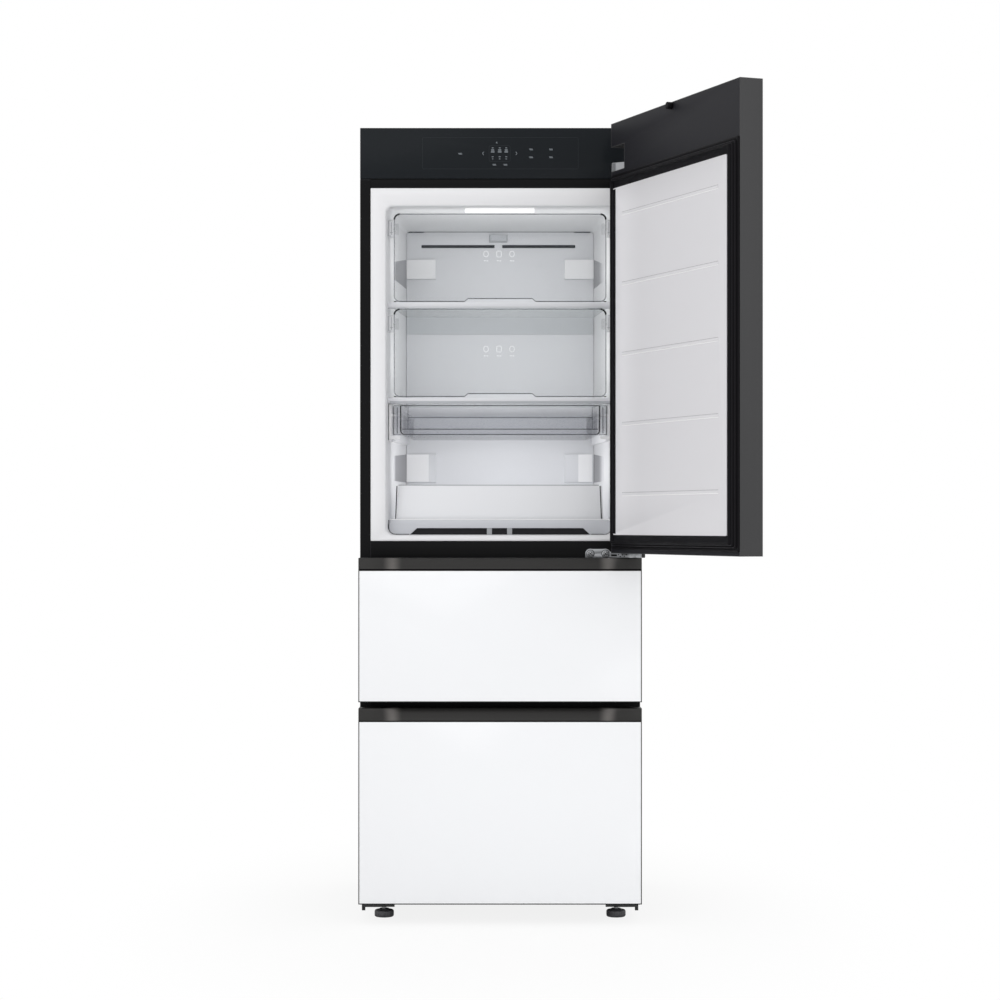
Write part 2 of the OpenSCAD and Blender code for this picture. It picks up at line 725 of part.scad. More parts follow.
// The folded shell behind the glass and its insulated core
module drawer_shell(z0, z1) {
    box(-half_w, half_w, glass_back, -gasket_gap, z0, z1 - handle_h);
    difference() {
        box(-half_w, half_w, front_y, glass_back, z0, z1 - handle_h);
        box(-half_w + edge_t, half_w - edge_t, front_y - 1, glass_back + 1, z0 + edge_t, z1);
    }
}

// The handle channel along the drawer's top edge, scooped out with round ends
module drawer_handle(z1) {
    scoop_half = half_w - 62;
    scoop_y = front_y - 9;
    scoop_z = z1 + 5;
    difference() {
        box(-half_w, half_w, front_y, -gasket_gap, z1 - handle_h, z1);
        translate([-scoop_half, scoop_y, scoop_z]) rotate([0, 90, 0]) cylinder(h = 2 * scoop_half, r = scoop_r, $fn = 64);
        for (x = [-scoop_half, scoop_half]) translate([x, scoop_y, scoop_z]) sphere(r = scoop_r, $fn = 64);
    }
}

module drawer_gasket(z0, z1) {
    gasket(z0, z1, [[8, 4], [12, gasket_h]], 26, 0);
}

// The bin with its front, its rolled rim and the two inner slide rails
module drawer_bin(z0, z1) {
    wall = 3;
    back = drawer_comp_d - 26;
    rim = 6;
    difference() {
        union() {
            slab(-bin_half, bin_half, z0 + 20, z1 - 18, -gasket_gap, back, 8);
            slab(-bin_half - 3, bin_half + 3, z1 - 18 - rim, z1 - 18, -gasket_gap, back + 3, 2);
        }
        translate([0, 0, z0 + 20 + wall])
            box(-bin_half + wall, bin_half - wall, -gasket_gap + 6, back - wall, 0, z1 - z0);
    }
    both_sides() inner_rail(z1 - rail_down);
}

rail_gap = 0.5;
rail_t = 1.8;
rail_y0 = 16;
rail_out = drawer_half_w - seat;
rail_down = 74;
slide_len = drawer_comp_d - 30;
bin_half = drawer_half_w - 33;

// A C-shaped rail that opens towards the drawer
module channel(x_back, x_lip, h, z, y0) {
    translate([0, y0, z]) rotate([-90, 0, 0]) linear_extrude(slide_len) {
        translate([-x_back, -h / 2]) square([rail_t, h]);
        translate([-x_back, -h / 2]) square([x_back - x_lip, rail_t]);
        translate([-x_back, h / 2 - rail_t]) square([x_back - x_lip, rail_t]);
    }
}

module cabinet_rail(z) {
    channel(rail_out, rail_out - 16, rail_h, z, rail_y0);
}

module mid_rail(z) {
    channel(rail_out - rail_t - rail_gap, rail_out - 18, rail_h - 2 * (rail_t + rail_gap), z, rail_y0);
}

module inner_rail(z) {
    h = rail_h - 4 * (rail_t + rail_gap);
    x0 = rail_out - 2 * (rail_t + rail_gap);
    translate([0, rail_y0, z]) rotate([-90, 0, 0]) linear_extrude(slide_len - 14) {
        translate([-x0, -h / 2]) square([6, h]);
        translate([-x0, -h / 4]) square([x0 - bin_half, h / 2]);
    }
}

module cabinet_rails() {
    color("#a7aaad") at_front() both_sides() {
        cabinet_rail(middle_z1 - rail_down);
        cabinet_rail(bottom_z1 - rail_down);
    }
}

module middle_mid_rails() {
    color("#b4b7ba") at_front() both_sides() mid_rail(middle_z1 - rail_down);
}

module bottom_mid_rails() {
    color("#b4b7ba") at_front() both_sides() mid_rail(bottom_z1 - rail_down);
}

module middle_glass() {
    color("#f8f9fb") at_front() drawer_glass(mid_front_z0, mid_front_z1);
}

module middle_shell() {
    color("#2f2f31") at_front() drawer_shell(mid_front_z0, mid_front_z1);
}

module middle_handle() {
    color("#3b3938") at_front() drawer_handle(mid_front_z1);
}

module middle_gasket() {
    color("#1c1b1e") at_front() drawer_gasket(mid_front_z0 + 10, mid_front_z1 - 10);
}

module middle_bin() {
    color("#dfe0e2") at_front() drawer_bin(middle_z0, middle_z1);
}

module bottom_glass() {
    color("#f8f9fb") at_front() drawer_glass(low_front_z0, low_front_z1);
}

module bottom_shell() {
    color("#2f2f31") at_front() drawer_shell(low_front_z0, low_front_z1);
}

module bottom_handle() {
    color("#3b3938") at_front() drawer_handle(low_front_z1);
}

module bottom_gasket() {
    color("#1c1b1e") at_front() drawer_gasket(low_front_z0 + 10, low_front_z1 - 10);
}

module bottom_bin() {
    color("#dfe0e2") at_front() drawer_bin(bottom_z0, bottom_z1);
}

// ---- Machine room and base ----

axle_y = cab_d - 60;
axle_x = 290;

module base_tray() {
    color("#1f2022") at_front() {
        difference() {
            box(-half_w + skin_t, half_w - skin_t, beam_d, foam_in, base_z, base_z + 12);
            for (x = [-foot_x, foot_x]) translate([x, foot_inset, base_z - 1]) cylinder(h = 20, r = 5 + pin_clear);
            for (s = [-1, 1]) box(s * axle_x - 14, s * axle_x + 14, axle_y - 26, axle_y + 26, base_z - 1, base_z + 14);
        }
        both_sides() {
            box(-half_w + 4, -half_w + 12, 3, 7, base_z - 14, base_z);
            box(-half_w + 4, -half_w + 60, 2, 10, base_z - 6, base_z);
            for (x = [axle_x - 20, axle_x + 14]) difference() {
                box(x, x + 6, axle_y - 14, axle_y + 14, roller_r - 8, base_z);
                translate([x - 1, axle_y, roller_r]) rotate([0, 90, 0]) cylinder(h = 8, r = 4);
            }
            translate([axle_x - 20, axle_y, roller_r]) rotate([0, 90, 0]) cylinder(h = 40, r = 4);
        }
    }
}

module foot() {
    at_front() translate([foot_x, foot_inset, 0]) {
        cylinder(h = foot_h - 6, r = foot_r);
        translate([0, 0, foot_h - 6]) cylinder(h = 6, r1 = foot_r - 3, r2 = foot_r - 9);
        cylinder(h = base_z + 10, r = 5);
    }
}

module foot_left() {
    color("#1a1a1b") mirror([1, 0, 0]) foot();
}

module foot_right() {
    color("#1a1a1b") foot();
}

module rear_rollers() {
    color("#232324") at_front() for (x = [-axle_x, axle_x]) translate([x - 11, axle_y, roller_r]) rotate([0, 90, 0])
        difference() {
            cylinder(h = 22, r = roller_r);
            translate([0, 0, -1]) cylinder(h = 24, r = 4 + pin_clear);
        }
}

module rear_cover() {
    color("#6f7276") at_front() difference() {
        box(-half_w + 2, half_w - 2, cab_d - skin_t, cab_d, base_z + 4, machine_z1);
        for (r = [0 : 7], x = [-260 : 65 : 200]) box(x, x + 48, cab_d - 3, cab_d + 1, 80 + r * 24, 88 + r * 24);
    }
}

pad_z = base_z + 12;
shaft_z = pad_z + 72;

module compressor() {
    can_r = 0.36 * room_d;
    cx = -half_w + 180;
    color("#17181a") at_front() translate([cx, room_y, pad_z]) {
        for (x = [-can_r, can_r], y = [-0.8 * can_r, 0.8 * can_r]) translate([x, y, 0]) cylinder(h = 12, r = 11);
        difference() {
            translate([-can_r - 20, -can_r - 2, 12]) cube([2 * can_r + 40, 2 * can_r + 4, 4]);
            translate([0, 0, 11]) cylinder(h = 6, r = can_r / 2);
        }
        translate([0, 0, 16]) cylinder(h = 96, r = can_r);
        translate([0, 0, 112]) intersection() {
            sphere(r = can_r);
            translate([0, 0, 40]) cube([2.4 * can_r, 2.4 * can_r, 80], center = true);
        }
        translate([can_r, 0, 70]) cube([24, can_r, 56], center = true);
    }
}

// The finned coil and, on the left, the bracket and motor of its fan
condenser_x = 90;

module condenser() {
    x0 = condenser_x;
    half_d = 0.35 * room_d;
    color("#56595c") at_front() translate([x0, room_y, pad_z]) {
        for (i = [0 : 11]) box(i * 14, i * 14 + 1.2, -half_d, half_d, 6, 136);
        for (y = [-0.6 * half_d, 0, 0.6 * half_d], z = [30, 70, 110]) translate([-4, y, z]) rotate([0, 90, 0])
            cylinder(h = 164, r = 4);
        box(-4, 160, -half_d - 8, half_d + 8, 0, 6);
        box(-50, -4, -12, 12, 0, 6);
        box(-50, -42, -12, 12, 6, 66);
        translate([-50, 0, shaft_z - pad_z]) rotate([0, 90, 0]) cylinder(h = 18, r = 18);
        translate([-50, 0, shaft_z - pad_z]) rotate([0, 90, 0]) cylinder(h = 40, r = pin_r);
    }
}

module condenser_fan() {
    color("#2b2c2e") at_front() translate([condenser_x - 31.5, room_y, shaft_z]) rotate([0, 90, 0])
        fan(0.336 * room_d, 20);
}

side_skin_left();
side_skin_right();
top_panel();
back_panel();
front_beams();
side_foams();
back_foam();
cross_foams();
upper_liner();
middle_liner();
bottom_liner();
control_glass();
control_housing();
duct_cover();
sensor_cap();
ceiling_lamp();
shelf_panes();
shelf_trims();
guard_upper();
guard_lower();
guard_brackets();
clear_drawer();
drawer_guides();
floor_tray();
guard_plate();
door_glass();
door_frame();
door_core();
door_base();
door_gasket();
door_liner();
door_bumper();
hinge_bushes();
upper_hinge();
lower_hinge();
hinge_screws();
hinge_stop();
middle_glass();
middle_shell();
middle_handle();
middle_gasket();
middle_bin();
middle_mid_rails();
bottom_glass();
bottom_shell();
bottom_handle();
bottom_gasket();
bottom_bin();
bottom_mid_rails();
cabinet_rails();
base_tray();
rear_cover();
compressor();
condenser();
condenser_fan();
evaporator();
evaporator_fan();
foot_left();
foot_right();
rear_rollers();
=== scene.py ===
"""A stand-up kimchi refrigerator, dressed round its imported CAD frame.

X runs to the right, Y into the cabinet and Z up, in metres. The origin lies on the floor, midway between the
two front feet, and the cabinet's front plane is at Y = FRONT. The pieces' own sizes are in millimetres, with
Y measured from that plane, and to_frame() takes them to the frame.
"""

import math

import bpy
import numpy as np
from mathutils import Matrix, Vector


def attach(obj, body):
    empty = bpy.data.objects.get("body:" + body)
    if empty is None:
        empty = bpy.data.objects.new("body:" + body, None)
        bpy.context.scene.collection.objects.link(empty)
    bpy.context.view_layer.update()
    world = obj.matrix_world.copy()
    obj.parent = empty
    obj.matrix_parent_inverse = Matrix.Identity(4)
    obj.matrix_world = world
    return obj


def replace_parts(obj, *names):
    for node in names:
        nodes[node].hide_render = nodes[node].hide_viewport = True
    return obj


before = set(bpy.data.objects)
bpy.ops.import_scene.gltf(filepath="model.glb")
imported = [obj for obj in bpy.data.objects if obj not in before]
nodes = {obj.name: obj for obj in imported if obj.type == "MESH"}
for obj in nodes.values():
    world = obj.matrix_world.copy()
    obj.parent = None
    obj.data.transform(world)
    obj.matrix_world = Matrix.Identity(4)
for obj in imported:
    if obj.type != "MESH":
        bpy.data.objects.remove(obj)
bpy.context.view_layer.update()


# ---- Studio: a pale floor, soft lamps and the camera at the photograph's viewing point ----
# The camera stands 5.86 m in front of the cabinet at chest height. Its small shift lets the
# verticals stay upright, as a product photographer's shift lens does.

FRONT = -0.040
CAMERA_DISTANCE = 5.862
CAMERA_HEIGHT = 0.930
FOCAL_PIXELS = 2486.6
PHOTO_WIDTH = 1000
HORIZON_ROW = 524.58
CENTRE_COLUMN = 500.1
SENSOR_MM = 36
VIEW_LIMIT = 60
PAPER_HALF = 30


def linear(code):
    """A linear RGBA colour from an sRGB hex code: each channel is raised by the sRGB curve."""
    channels = np.array([int(code[i : i + 2], 16) for i in (1, 3, 5)]) / 255
    low, high = channels / 12.92, ((channels + 0.055) / 1.055) ** 2.4
    return (*np.where(channels <= 0.04045, low, high).tolist(), 1.0)


def add_node(tree, kind, links=None, **settings):
    """Adds one shader node; settings are its properties or sockets, and links feed its sockets."""
    made = tree.nodes.new(kind)
    for name, value in settings.items():
        if hasattr(made, name):
            setattr(made, name, value)
        else:
            made.inputs[name.replace("_", " ")].default_value = value
    for name, source in (links or {}).items():
        tree.links.new(source, made.inputs[name])
    return made


def new_material(name):
    """An empty node material with its output, and the tree and output to build on."""
    made = bpy.data.materials.new(name)
    made.use_nodes = True
    made.node_tree.nodes.clear()
    out = made.node_tree.nodes.new("ShaderNodeOutputMaterial")
    return made, made.node_tree, out


def object_coordinates(tree, scale=(1, 1, 1)):
    """The piece's own coordinates in metres, stretched by scale."""
    source = add_node(tree, "ShaderNodeTexCoord")
    mapping = add_node(tree, "ShaderNodeMapping", {"Vector": source.outputs["Object"]}, Scale=scale)
    return mapping.outputs["Vector"]


def place_camera():
    """A level camera whose shift puts the horizon and the middle where the photograph has them."""
    lens = bpy.data.cameras.new("camera")
    lens.sensor_width = SENSOR_MM
    lens.lens = FOCAL_PIXELS / PHOTO_WIDTH * lens.sensor_width
    lens.shift_x = (PHOTO_WIDTH / 2 - CENTRE_COLUMN) / PHOTO_WIDTH
    lens.shift_y = (HORIZON_ROW - PHOTO_WIDTH / 2) / PHOTO_WIDTH
    lens.clip_end = VIEW_LIMIT
    camera = bpy.data.objects.new("camera", lens)
    camera.location = (0, FRONT - CAMERA_DISTANCE, CAMERA_HEIGHT)
    camera.rotation_euler = (math.pi / 2, 0, 0)
    bpy.context.scene.collection.objects.link(camera)
    bpy.context.scene.camera = camera


def studio_paper():
    """Matt white paper that, to the eye, fades to plain white around the cabinet."""
    paper, tree, out = new_material("matt_studio_paper")
    surface = add_node(tree, "ShaderNodeBsdfDiffuse", Color=linear("#f4f4f4"))
    glow = add_node(tree, "ShaderNodeEmission", Color=linear("#ffffff"))
    place = object_coordinates(tree, (1, 0.55, 1))
    away = add_node(tree, "ShaderNodeVectorMath", {0: place}, operation="LENGTH")
    reach = {"From_Min": 0.25, "From_Max": 1.0, "To_Min": 0.86, "To_Max": 1.0}
    distance = {"Value": away.outputs["Value"]}
    fade = add_node(tree, "ShaderNodeMapRange", distance, interpolation_type="SMOOTHSTEP", **reach)
    seen = add_node(tree, "ShaderNodeLightPath")
    both = {0: fade.outputs[0], 1: seen.outputs["Is Camera Ray"]}
    share = add_node(tree, "ShaderNodeMath", both, operation="MULTIPLY")
    layers = {0: share.outputs[0], 1: surface.outputs[0], 2: glow.outputs[0]}
    blend = add_node(tree, "ShaderNodeMixShader", layers)
    tree.links.new(blend.outputs[0], out.inputs["Surface"])
    return paper


def lay_floor():
    """One large square of the studio's paper."""
    floor_mesh = bpy.data.meshes.new("floor")
    corners = [(x * PAPER_HALF, y * PAPER_HALF, 0) for x, y in ((-1, -1), (1, -1), (1, 1), (-1, 1))]
    floor_mesh.from_pydata(corners, [], [(0, 1, 2, 3)])
    floor = bpy.data.objects.new("floor", floor_mesh)
    bpy.context.scene.collection.objects.link(floor)
    floor_mesh.materials.append(studio_paper())


def soft_lamp(name, place, aim, size, watts):
    """A rectangular area lamp at a place, turned to face a point."""
    light = bpy.data.lights.new(name, "AREA")
    light.shape, light.size, light.size_y, light.energy = "RECTANGLE", size[0], size[1], watts
    lamp = bpy.data.objects.new(name, light)
    lamp.location = place
    direction = np.array(aim, float) - np.array(place, float)
    lamp.rotation_euler = Vector(direction).to_track_quat("-Z", "Y").to_euler()
    bpy.context.scene.collection.objects.link(lamp)
    return lamp


def light_the_studio():
    """Two large front lamps and a weak one above, under a white sky that lights less than it shows."""
    middle = (0, 0, 0.9)
    soft_lamp("front_left_lamp", (-2.4, -5.0, 1.9), middle, (3.0, 3.0), 45)
    soft_lamp("front_right_lamp", (3.0, -4.6, 1.6), middle, (2.6, 3.0), 35)
    soft_lamp("top_lamp", (0, -1.6, 4.2), (0, 0.2, 1.0), (3.0, 2.0), 8)
    world = bpy.data.worlds.new("soft_sky")
    bpy.context.scene.world = world
    world.use_nodes = True
    tree = world.node_tree
    tree.nodes.clear()
    ray = add_node(tree, "ShaderNodeLightPath").outputs
    direct = {0: ray["Is Camera Ray"], 1: ray["Is Glossy Ray"]}
    mirrored = add_node(tree, "ShaderNodeMath", direct, operation="MAXIMUM")
    through = {0: mirrored.outputs[0], 1: ray["Is Transmission Ray"]}
    looked_at = add_node(tree, "ShaderNodeMath", through, operation="MAXIMUM")
    ambient = add_node(tree, "ShaderNodeBackground", Color=(1, 1, 1, 1), Strength=0.8)
    white = add_node(tree, "ShaderNodeBackground", Color=(1, 1, 1, 1), Strength=1.0)
    layers = {0: looked_at.outputs[0], 1: ambient.outputs[0], 2: white.outputs[0]}
    blend = add_node(tree, "ShaderNodeMixShader", layers)
    add_node(tree, "ShaderNodeOutputWorld", {"Surface": blend.outputs[0]})
    bpy.context.scene.view_settings.view_transform = "Standard"


def inner_lamp(name, place, aim, size, watts):
    """A lamp inside the cabinet that neither the eye nor a reflection sees."""
    lamp = soft_lamp(name, place, aim, size, watts)
    lamp.visible_glossy = False
    lamp.visible_camera = False


def light_the_tiers():
    """One lamp behind each guard, facing the duct cover, as the strip lamp lights every tier evenly."""
    behind_guard, far = 0.045, 1.0
    tiers = [("top", 1.56, (0.44, 0.1), 0.32), ("second", 1.335, (0.44, 0.13), 0.385)]
    tiers += [("floor", 1.06, (0.38, 0.12), 0.61)]
    for name, height, size, watts in tiers:
        inner_lamp(f"{name}_tier_lamp", (0, behind_guard, height), (0, far, height), size, watts)
    inner_lamp("ceiling_glow", (0, 0.05, 1.662), (0, 0.05, 2.0), (0.5, 0.05), 0.045)


place_camera()
lay_floor()
light_the_studio()
light_the_tiers()


# ---- Satin painted cabinet: sides, top, cross beams and galvanised back ----
# The sides and top are one folded sheet, powder coated a satin near-black, over a galvanised back.
# Powder coat gives a faint orange peel, and the folds round its edges by about a millimetre.

CLOUDS_PER_METRE = 9.0
GRAIN_HEIGHT = 0.0004
SAME_POINT = 0.00001
FLAT_ANGLE = math.radians(0.5)
EDGE_ANGLE = math.radians(40)
HALF_WIDTH = 330


def moulded(name, colour, roughness, grain_mm=0.0, grain_depth=0.0, mottled=0.0, shine=0.5, **more):
    """A Principled surface with a fine grain bump and a slow change of tone, both on object coordinates."""
    made, tree, out = new_material(name)
    base = linear(colour)
    sockets = {"Base_Color": base, "Roughness": roughness, "Specular_IOR_Level": shine, **more}
    surface = add_node(tree, "ShaderNodeBsdfPrincipled", **sockets)
    place = object_coordinates(tree)
    if mottled:
        cloud = add_node(tree, "ShaderNodeTexNoise", {"Vector": place}, Scale=CLOUDS_PER_METRE, Detail=3.0)
        tone = add_node(tree, "ShaderNodeMix", {0: cloud.outputs["Fac"]}, data_type="RGBA")
        tone.inputs[6].default_value = tuple(c * (1 - mottled) for c in base[:3]) + (1.0,)
        tone.inputs[7].default_value = base
        tree.links.new(tone.outputs[2], surface.inputs["Base Color"])
    if grain_mm:
        grain = add_node(tree, "ShaderNodeTexNoise", {"Vector": place}, Scale=1000 / grain_mm, Detail=2.0)
        height = {"Height": grain.outputs["Fac"]}
        bump = add_node(tree, "ShaderNodeBump", height, Strength=grain_depth, Distance=GRAIN_HEIGHT)
        tree.links.new(bump.outputs["Normal"], surface.inputs["Normal"])
    tree.links.new(surface.outputs[0], out.inputs["Surface"])
    return made


def finish(name, material, bevel_mm=0.0):
    """Gives a CAD node its material and, by live modifiers, the small rounding of its real edges."""
    piece = nodes[name]
    piece.data.materials.clear()
    piece.data.materials.append(material)
    if bevel_mm:
        piece.data.polygons.foreach_set("use_smooth", [True] * len(piece.data.polygons))
        weld = piece.modifiers.new("joined_faces", "WELD")
        weld.merge_threshold = SAME_POINT
        flat = piece.modifiers.new("flat_faces", "DECIMATE")
        flat.decimate_type = "DISSOLVE"
        flat.angle_limit = FLAT_ANGLE
        bevel = piece.modifiers.new("soft_edges", "BEVEL")
        bevel.width = bevel_mm / 1000
        bevel.segments = 2
        bevel.limit_method = "ANGLE"
        bevel.angle_limit = EDGE_ANGLE
        bevel.harden_normals = True


def to_frame(points):
    """Front-plane millimetres, with Y measured from the cabinet's front plane, as metres in the frame."""
    return (np.asarray(points, float) + [0, FRONT * 1000, 0]) / 1000


def hang(name, points, faces, body, material, smooth=True):
    """Makes one closed mesh piece with outward normals and lets it ride a body.

    The signed volume, a sixth of the sum of a . (b x c) over the faces' triangles, tells which way they face.
    """
    points = np.asarray(points, float)
    first = np.array([f[0] for f in faces for _ in range(len(f) - 2)])
    second = np.array([f[i] for f in faces for i in range(1, len(f) - 1)])
    third = np.array([f[i + 1] for f in faces for i in range(1, len(f) - 1)])
    middle = points.mean(0)
    a, b, c = (points[k] - middle for k in (first, second, third))
    if (a * np.cross(b, c)).sum() < 0:
        faces = [tuple(reversed(f)) for f in faces]
    mesh = bpy.data.meshes.new(name)
    mesh.from_pydata(points.tolist(), [], [tuple(int(i) for i in f) for f in faces])
    mesh.polygons.foreach_set("use_smooth", [smooth] * len(mesh.polygons))
    mesh.materials.append(material)
    made = bpy.data.objects.new(name, mesh)
    bpy.context.scene.collection.objects.link(made)
    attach(made, body)
    return made


def bars(name, rows, body, material, move=to_frame):
    """Small box mouldings as one piece.

    Each row is (x0, x1, y0, y1, z0, z1) in front-plane millimetres, and a box's corners are its eight mixes.
    """
    rows = np.asarray(rows, float)
    pick = np.array([(i & 1, 2 + (i >> 1 & 1), 4 + (i >> 2 & 1)) for i in range(8)])
    points = rows[:, pick].reshape(-1, 3)
    quads = [(0, 2, 3, 1), (4, 5, 7, 6), (0, 1, 5, 4), (2, 6, 7, 3), (0, 4, 6, 2), (1, 3, 7, 5)]
    faces = (np.array(quads)[None] + 8 * np.arange(len(rows))[:, None, None]).reshape(-1, 4)
    return hang(name, move(points), faces.tolist(), body, material, smooth=False)


def both_sides(x0, x1, *rest):
    """One row for bars on the left of the middle, and its mirror image on the right."""
    return [(-x1, -x0, *rest), (x0, x1, *rest)]


# Satin black with a faint orange peel outside, deeper black enamel in front, and a grey spangle behind.
coat_grain = {"grain_mm": 1.6, "grain_depth": 0.12}
powder_coat = moulded("satin_powder_coat", "#1f2022", 0.5, **coat_grain, mottled=0.06, shine=0.12)
flange_paint = moulded("black_enamel", "#131314", 0.45, grain_mm=1.6, grain_depth=0.08, shine=0.06)
spangle = {"grain_mm": 6.0, "grain_depth": 0.05, "mottled": 0.12}
galvanised = moulded("galvanised_steel", "#8b8e92", 0.45, **spangle, Metallic=0.7)
# Foamed polyurethane shows its cells as a coarse matt cream.
foam = moulded("insulation_foam", "#e4d9b2", 0.9, grain_mm=3.0, grain_depth=0.5, mottled=0.1)
for side in ("side_skin_left", "side_skin_right"):
    finish(side, powder_coat, 0.6)
finish("top_panel", powder_coat, 0.5)
finish("back_panel", galvanised, 0.4)
finish("rear_cover", galvanised, 0.3)
finish("front_beams", flange_paint, 0.5)
for block in ("side_foams", "back_foam", "cross_foams", "door_core"):
    finish(block, foam)
opening_half, flange_low, flange_top = 305.6, 52, 1742
flange_rows = both_sides(opening_half, HALF_WIDTH, -0.2, 0.3, flange_low, flange_top)
bars("front_flange_faces", flange_rows, "cabinet", flange_paint)


# ---- Liners ----
# The inner boxes are vacuum-formed from white polystyrene sheet, so every corner is a soft radius
# and the upper box's mouth flares out to the black frame in one smooth curve.


def round_rectangle(half_x, z0, z1, radius, per_arc=7, middle_x=0.0):
    """Points (x, z) round a rectangle: each corner's centre plus radius times (cos a, sin a)."""
    turn = np.linspace(0, np.pi / 2, per_arc)[None, :] + np.arange(4)[:, None] * np.pi / 2
    centre_x = np.array([1, -1, -1, 1])[:, None] * (half_x - radius) + middle_x
    centre_z = np.array([z1 - radius, z1 - radius, z0 + radius, z0 + radius])[:, None]
    return np.stack([centre_x + radius * np.cos(turn), centre_z + radius * np.sin(turn)], -1).reshape(-1, 2)


def skin_rings(count, around, ring_closes=False):
    """Quads between neighbouring rings, with an n-gon on each end unless the last ring meets the first."""
    n, m = np.meshgrid(np.arange(count if ring_closes else count - 1), np.arange(around), indexing="ij")
    beside, above = (m + 1) % around, ((n + 1) % count) * around
    faces = np.stack([n * around + m, n * around + beside, above + beside, above + m], -1)
    faces = faces.reshape(-1, 4).tolist()
    if not ring_closes:
        faces.append(list(range(around))[::-1])
        faces.append(list(range((count - 1) * around, count * around)))
    return faces


def lofted_shell(name, rows, body, material, move=to_frame, per_arc=7):
    """A closed skin through rounded rectangles.

    Each row is (half_x, z0, z1, radius, y) and the rectangle's middle in X, if that isn't 0.
    """
    rings = [round_rectangle(*row[:4], per_arc, *row[5:]) for row in rows]
    grid = np.stack([np.insert(ring, 1, row[4], axis=1) for ring, row in zip(rings, rows)])
    faces = skin_rings(len(rows), grid.shape[1], ring_closes=True)
    return hang(name, move(grid.reshape(-1, 3)), faces, body, material)


def depth_tone(name, near, far, start, end, roughness):
    """A Principled surface whose tone runs from near to far as a smoothstep of Y between start and end."""
    made, tree, out = new_material(name)
    surface = add_node(tree, "ShaderNodeBsdfPrincipled", Roughness=roughness, Specular_IOR_Level=0.3)
    place = add_node(tree, "ShaderNodeSeparateXYZ", {"Vector": object_coordinates(tree)})
    depth = {"Value": place.outputs["Y"]}
    reach = {"From_Min": start, "From_Max": end}
    deeper = add_node(tree, "ShaderNodeMapRange", depth, interpolation_type="SMOOTHSTEP", **reach)
    tone = add_node(tree, "ShaderNodeMix", {0: deeper.outputs[0]}, data_type="RGBA")
    tone.inputs[6].default_value, tone.inputs[7].default_value = linear(near), linear(far)
    tree.links.new(tone.outputs[2], surface.inputs["Base Color"])
    tree.links.new(surface.outputs[0], out.inputs["Surface"])
    return made


# Formed polystyrene is an even, slightly glossy white. The mouth's sheet is painted a shade greyer at its
# front rim and a little lighter deeper in, as painted shade and light.
liner_white = moulded("white_polystyrene_sheet", "#e8e8ea", 0.4, mottled=0.015, shine=0.3)
liner_sheet_painted_light = depth_tone("polystyrene_sheet_painted_light", "#e7e7e9", "#eaeaeb", -0.038, 0.0, 0.4)
outer_rim = [(305.3, 891.4, 1723.1, 2, 11.8), (305.3, 891.4, 1723.1, 2, 0.6), (304.7, 892, 1722.5, 2, 0.05)]
flare = [(289, 896, 1708.4, 8, 0.1), (287, 897, 1706, 9, 0.5), (272.6, 903, 1684.8, 15, 4.6)]
flare += [(270.6, 904, 1682.6, 17, 6.4), (269.5, 904.8, 1681.6, 18, 9.5), (268.6, 905.4, 1681.6, 18.8, 18)]
walls = [(267, 906, 1683, 19, 50), (266.6, 906.2, 1683.4, 19, 52.5), (237, 906, 1670, 10, 423)]
walls += [(237, 906, 1670, 10, 514.4)]
outside = [(238.4, 904.6, 1671.4, 10, 514.6), (238.4, 904.6, 1671.4, 10, 424)]
outside += [(268.4, 904.6, 1685.4, 19, 51.5), (292, 897, 1712, 9, 12)]
mouth = outer_rim + flare + walls + outside
for liner in ("upper_liner", "middle_liner", "bottom_liner"):
    finish(liner, liner_white)
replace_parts(lofted_shell("upper_liner_skin", mouth, "cabinet", liner_sheet_painted_light), "upper_liner")


# ---- Control strip: printed black glass over an ABS housing ----
# One pane of black-printed glass runs across the head. Its touch marks are printed in faint grey
# and light up only in use, so they read as thin outlines and small dashes.

STROKE_HEIGHT = 0.15


def flat_marks(name, strokes, y, body, material, move=to_frame):
    """Thin raised strokes on a face: each stroke (x0, z0, x1, z1, width) is a box STROKE_HEIGHT deep in Y.

    Its corners are its two ends plus and minus half the width along the normal of its run.
    """
    strokes = np.asarray(strokes, float)
    start, end, width = strokes[:, :2], strokes[:, 2:4], strokes[:, 4:]
    along = (end - start) / np.hypot(*(end - start).T)[:, None]
    side = np.stack([-along[:, 1], along[:, 0]], -1) * width / 2
    outline = np.stack([start - side, end - side, end + side, start + side], 1)
    boxes = np.concatenate([np.insert(outline, 1, face, axis=2) for face in (y, y + STROKE_HEIGHT)], 1)
    quads = [(0, 1, 2, 3), (7, 6, 5, 4), (0, 4, 5, 1), (1, 5, 6, 2), (2, 6, 7, 3), (3, 7, 4, 0)]
    faces = (np.array(quads)[None] + 8 * np.arange(len(strokes))[:, None, None]).reshape(-1, 4)
    return hang(name, move(boxes.reshape(-1, 3)), faces.tolist(), body, material, smooth=False)


def outline_strokes(half_x, z0, z1, radius, width, middle_x=0.0, per_arc=5):
    """The strokes that draw a rounded rectangle; a full circle's sides have no length and are left out."""
    ring = round_rectangle(half_x, z0, z1, radius, per_arc, middle_x)
    ends = np.roll(ring, -1, axis=0)
    return [(*a, *b, width) for a, b in zip(ring.tolist(), ends.tolist()) if math.dist(a, b) > 0.001]


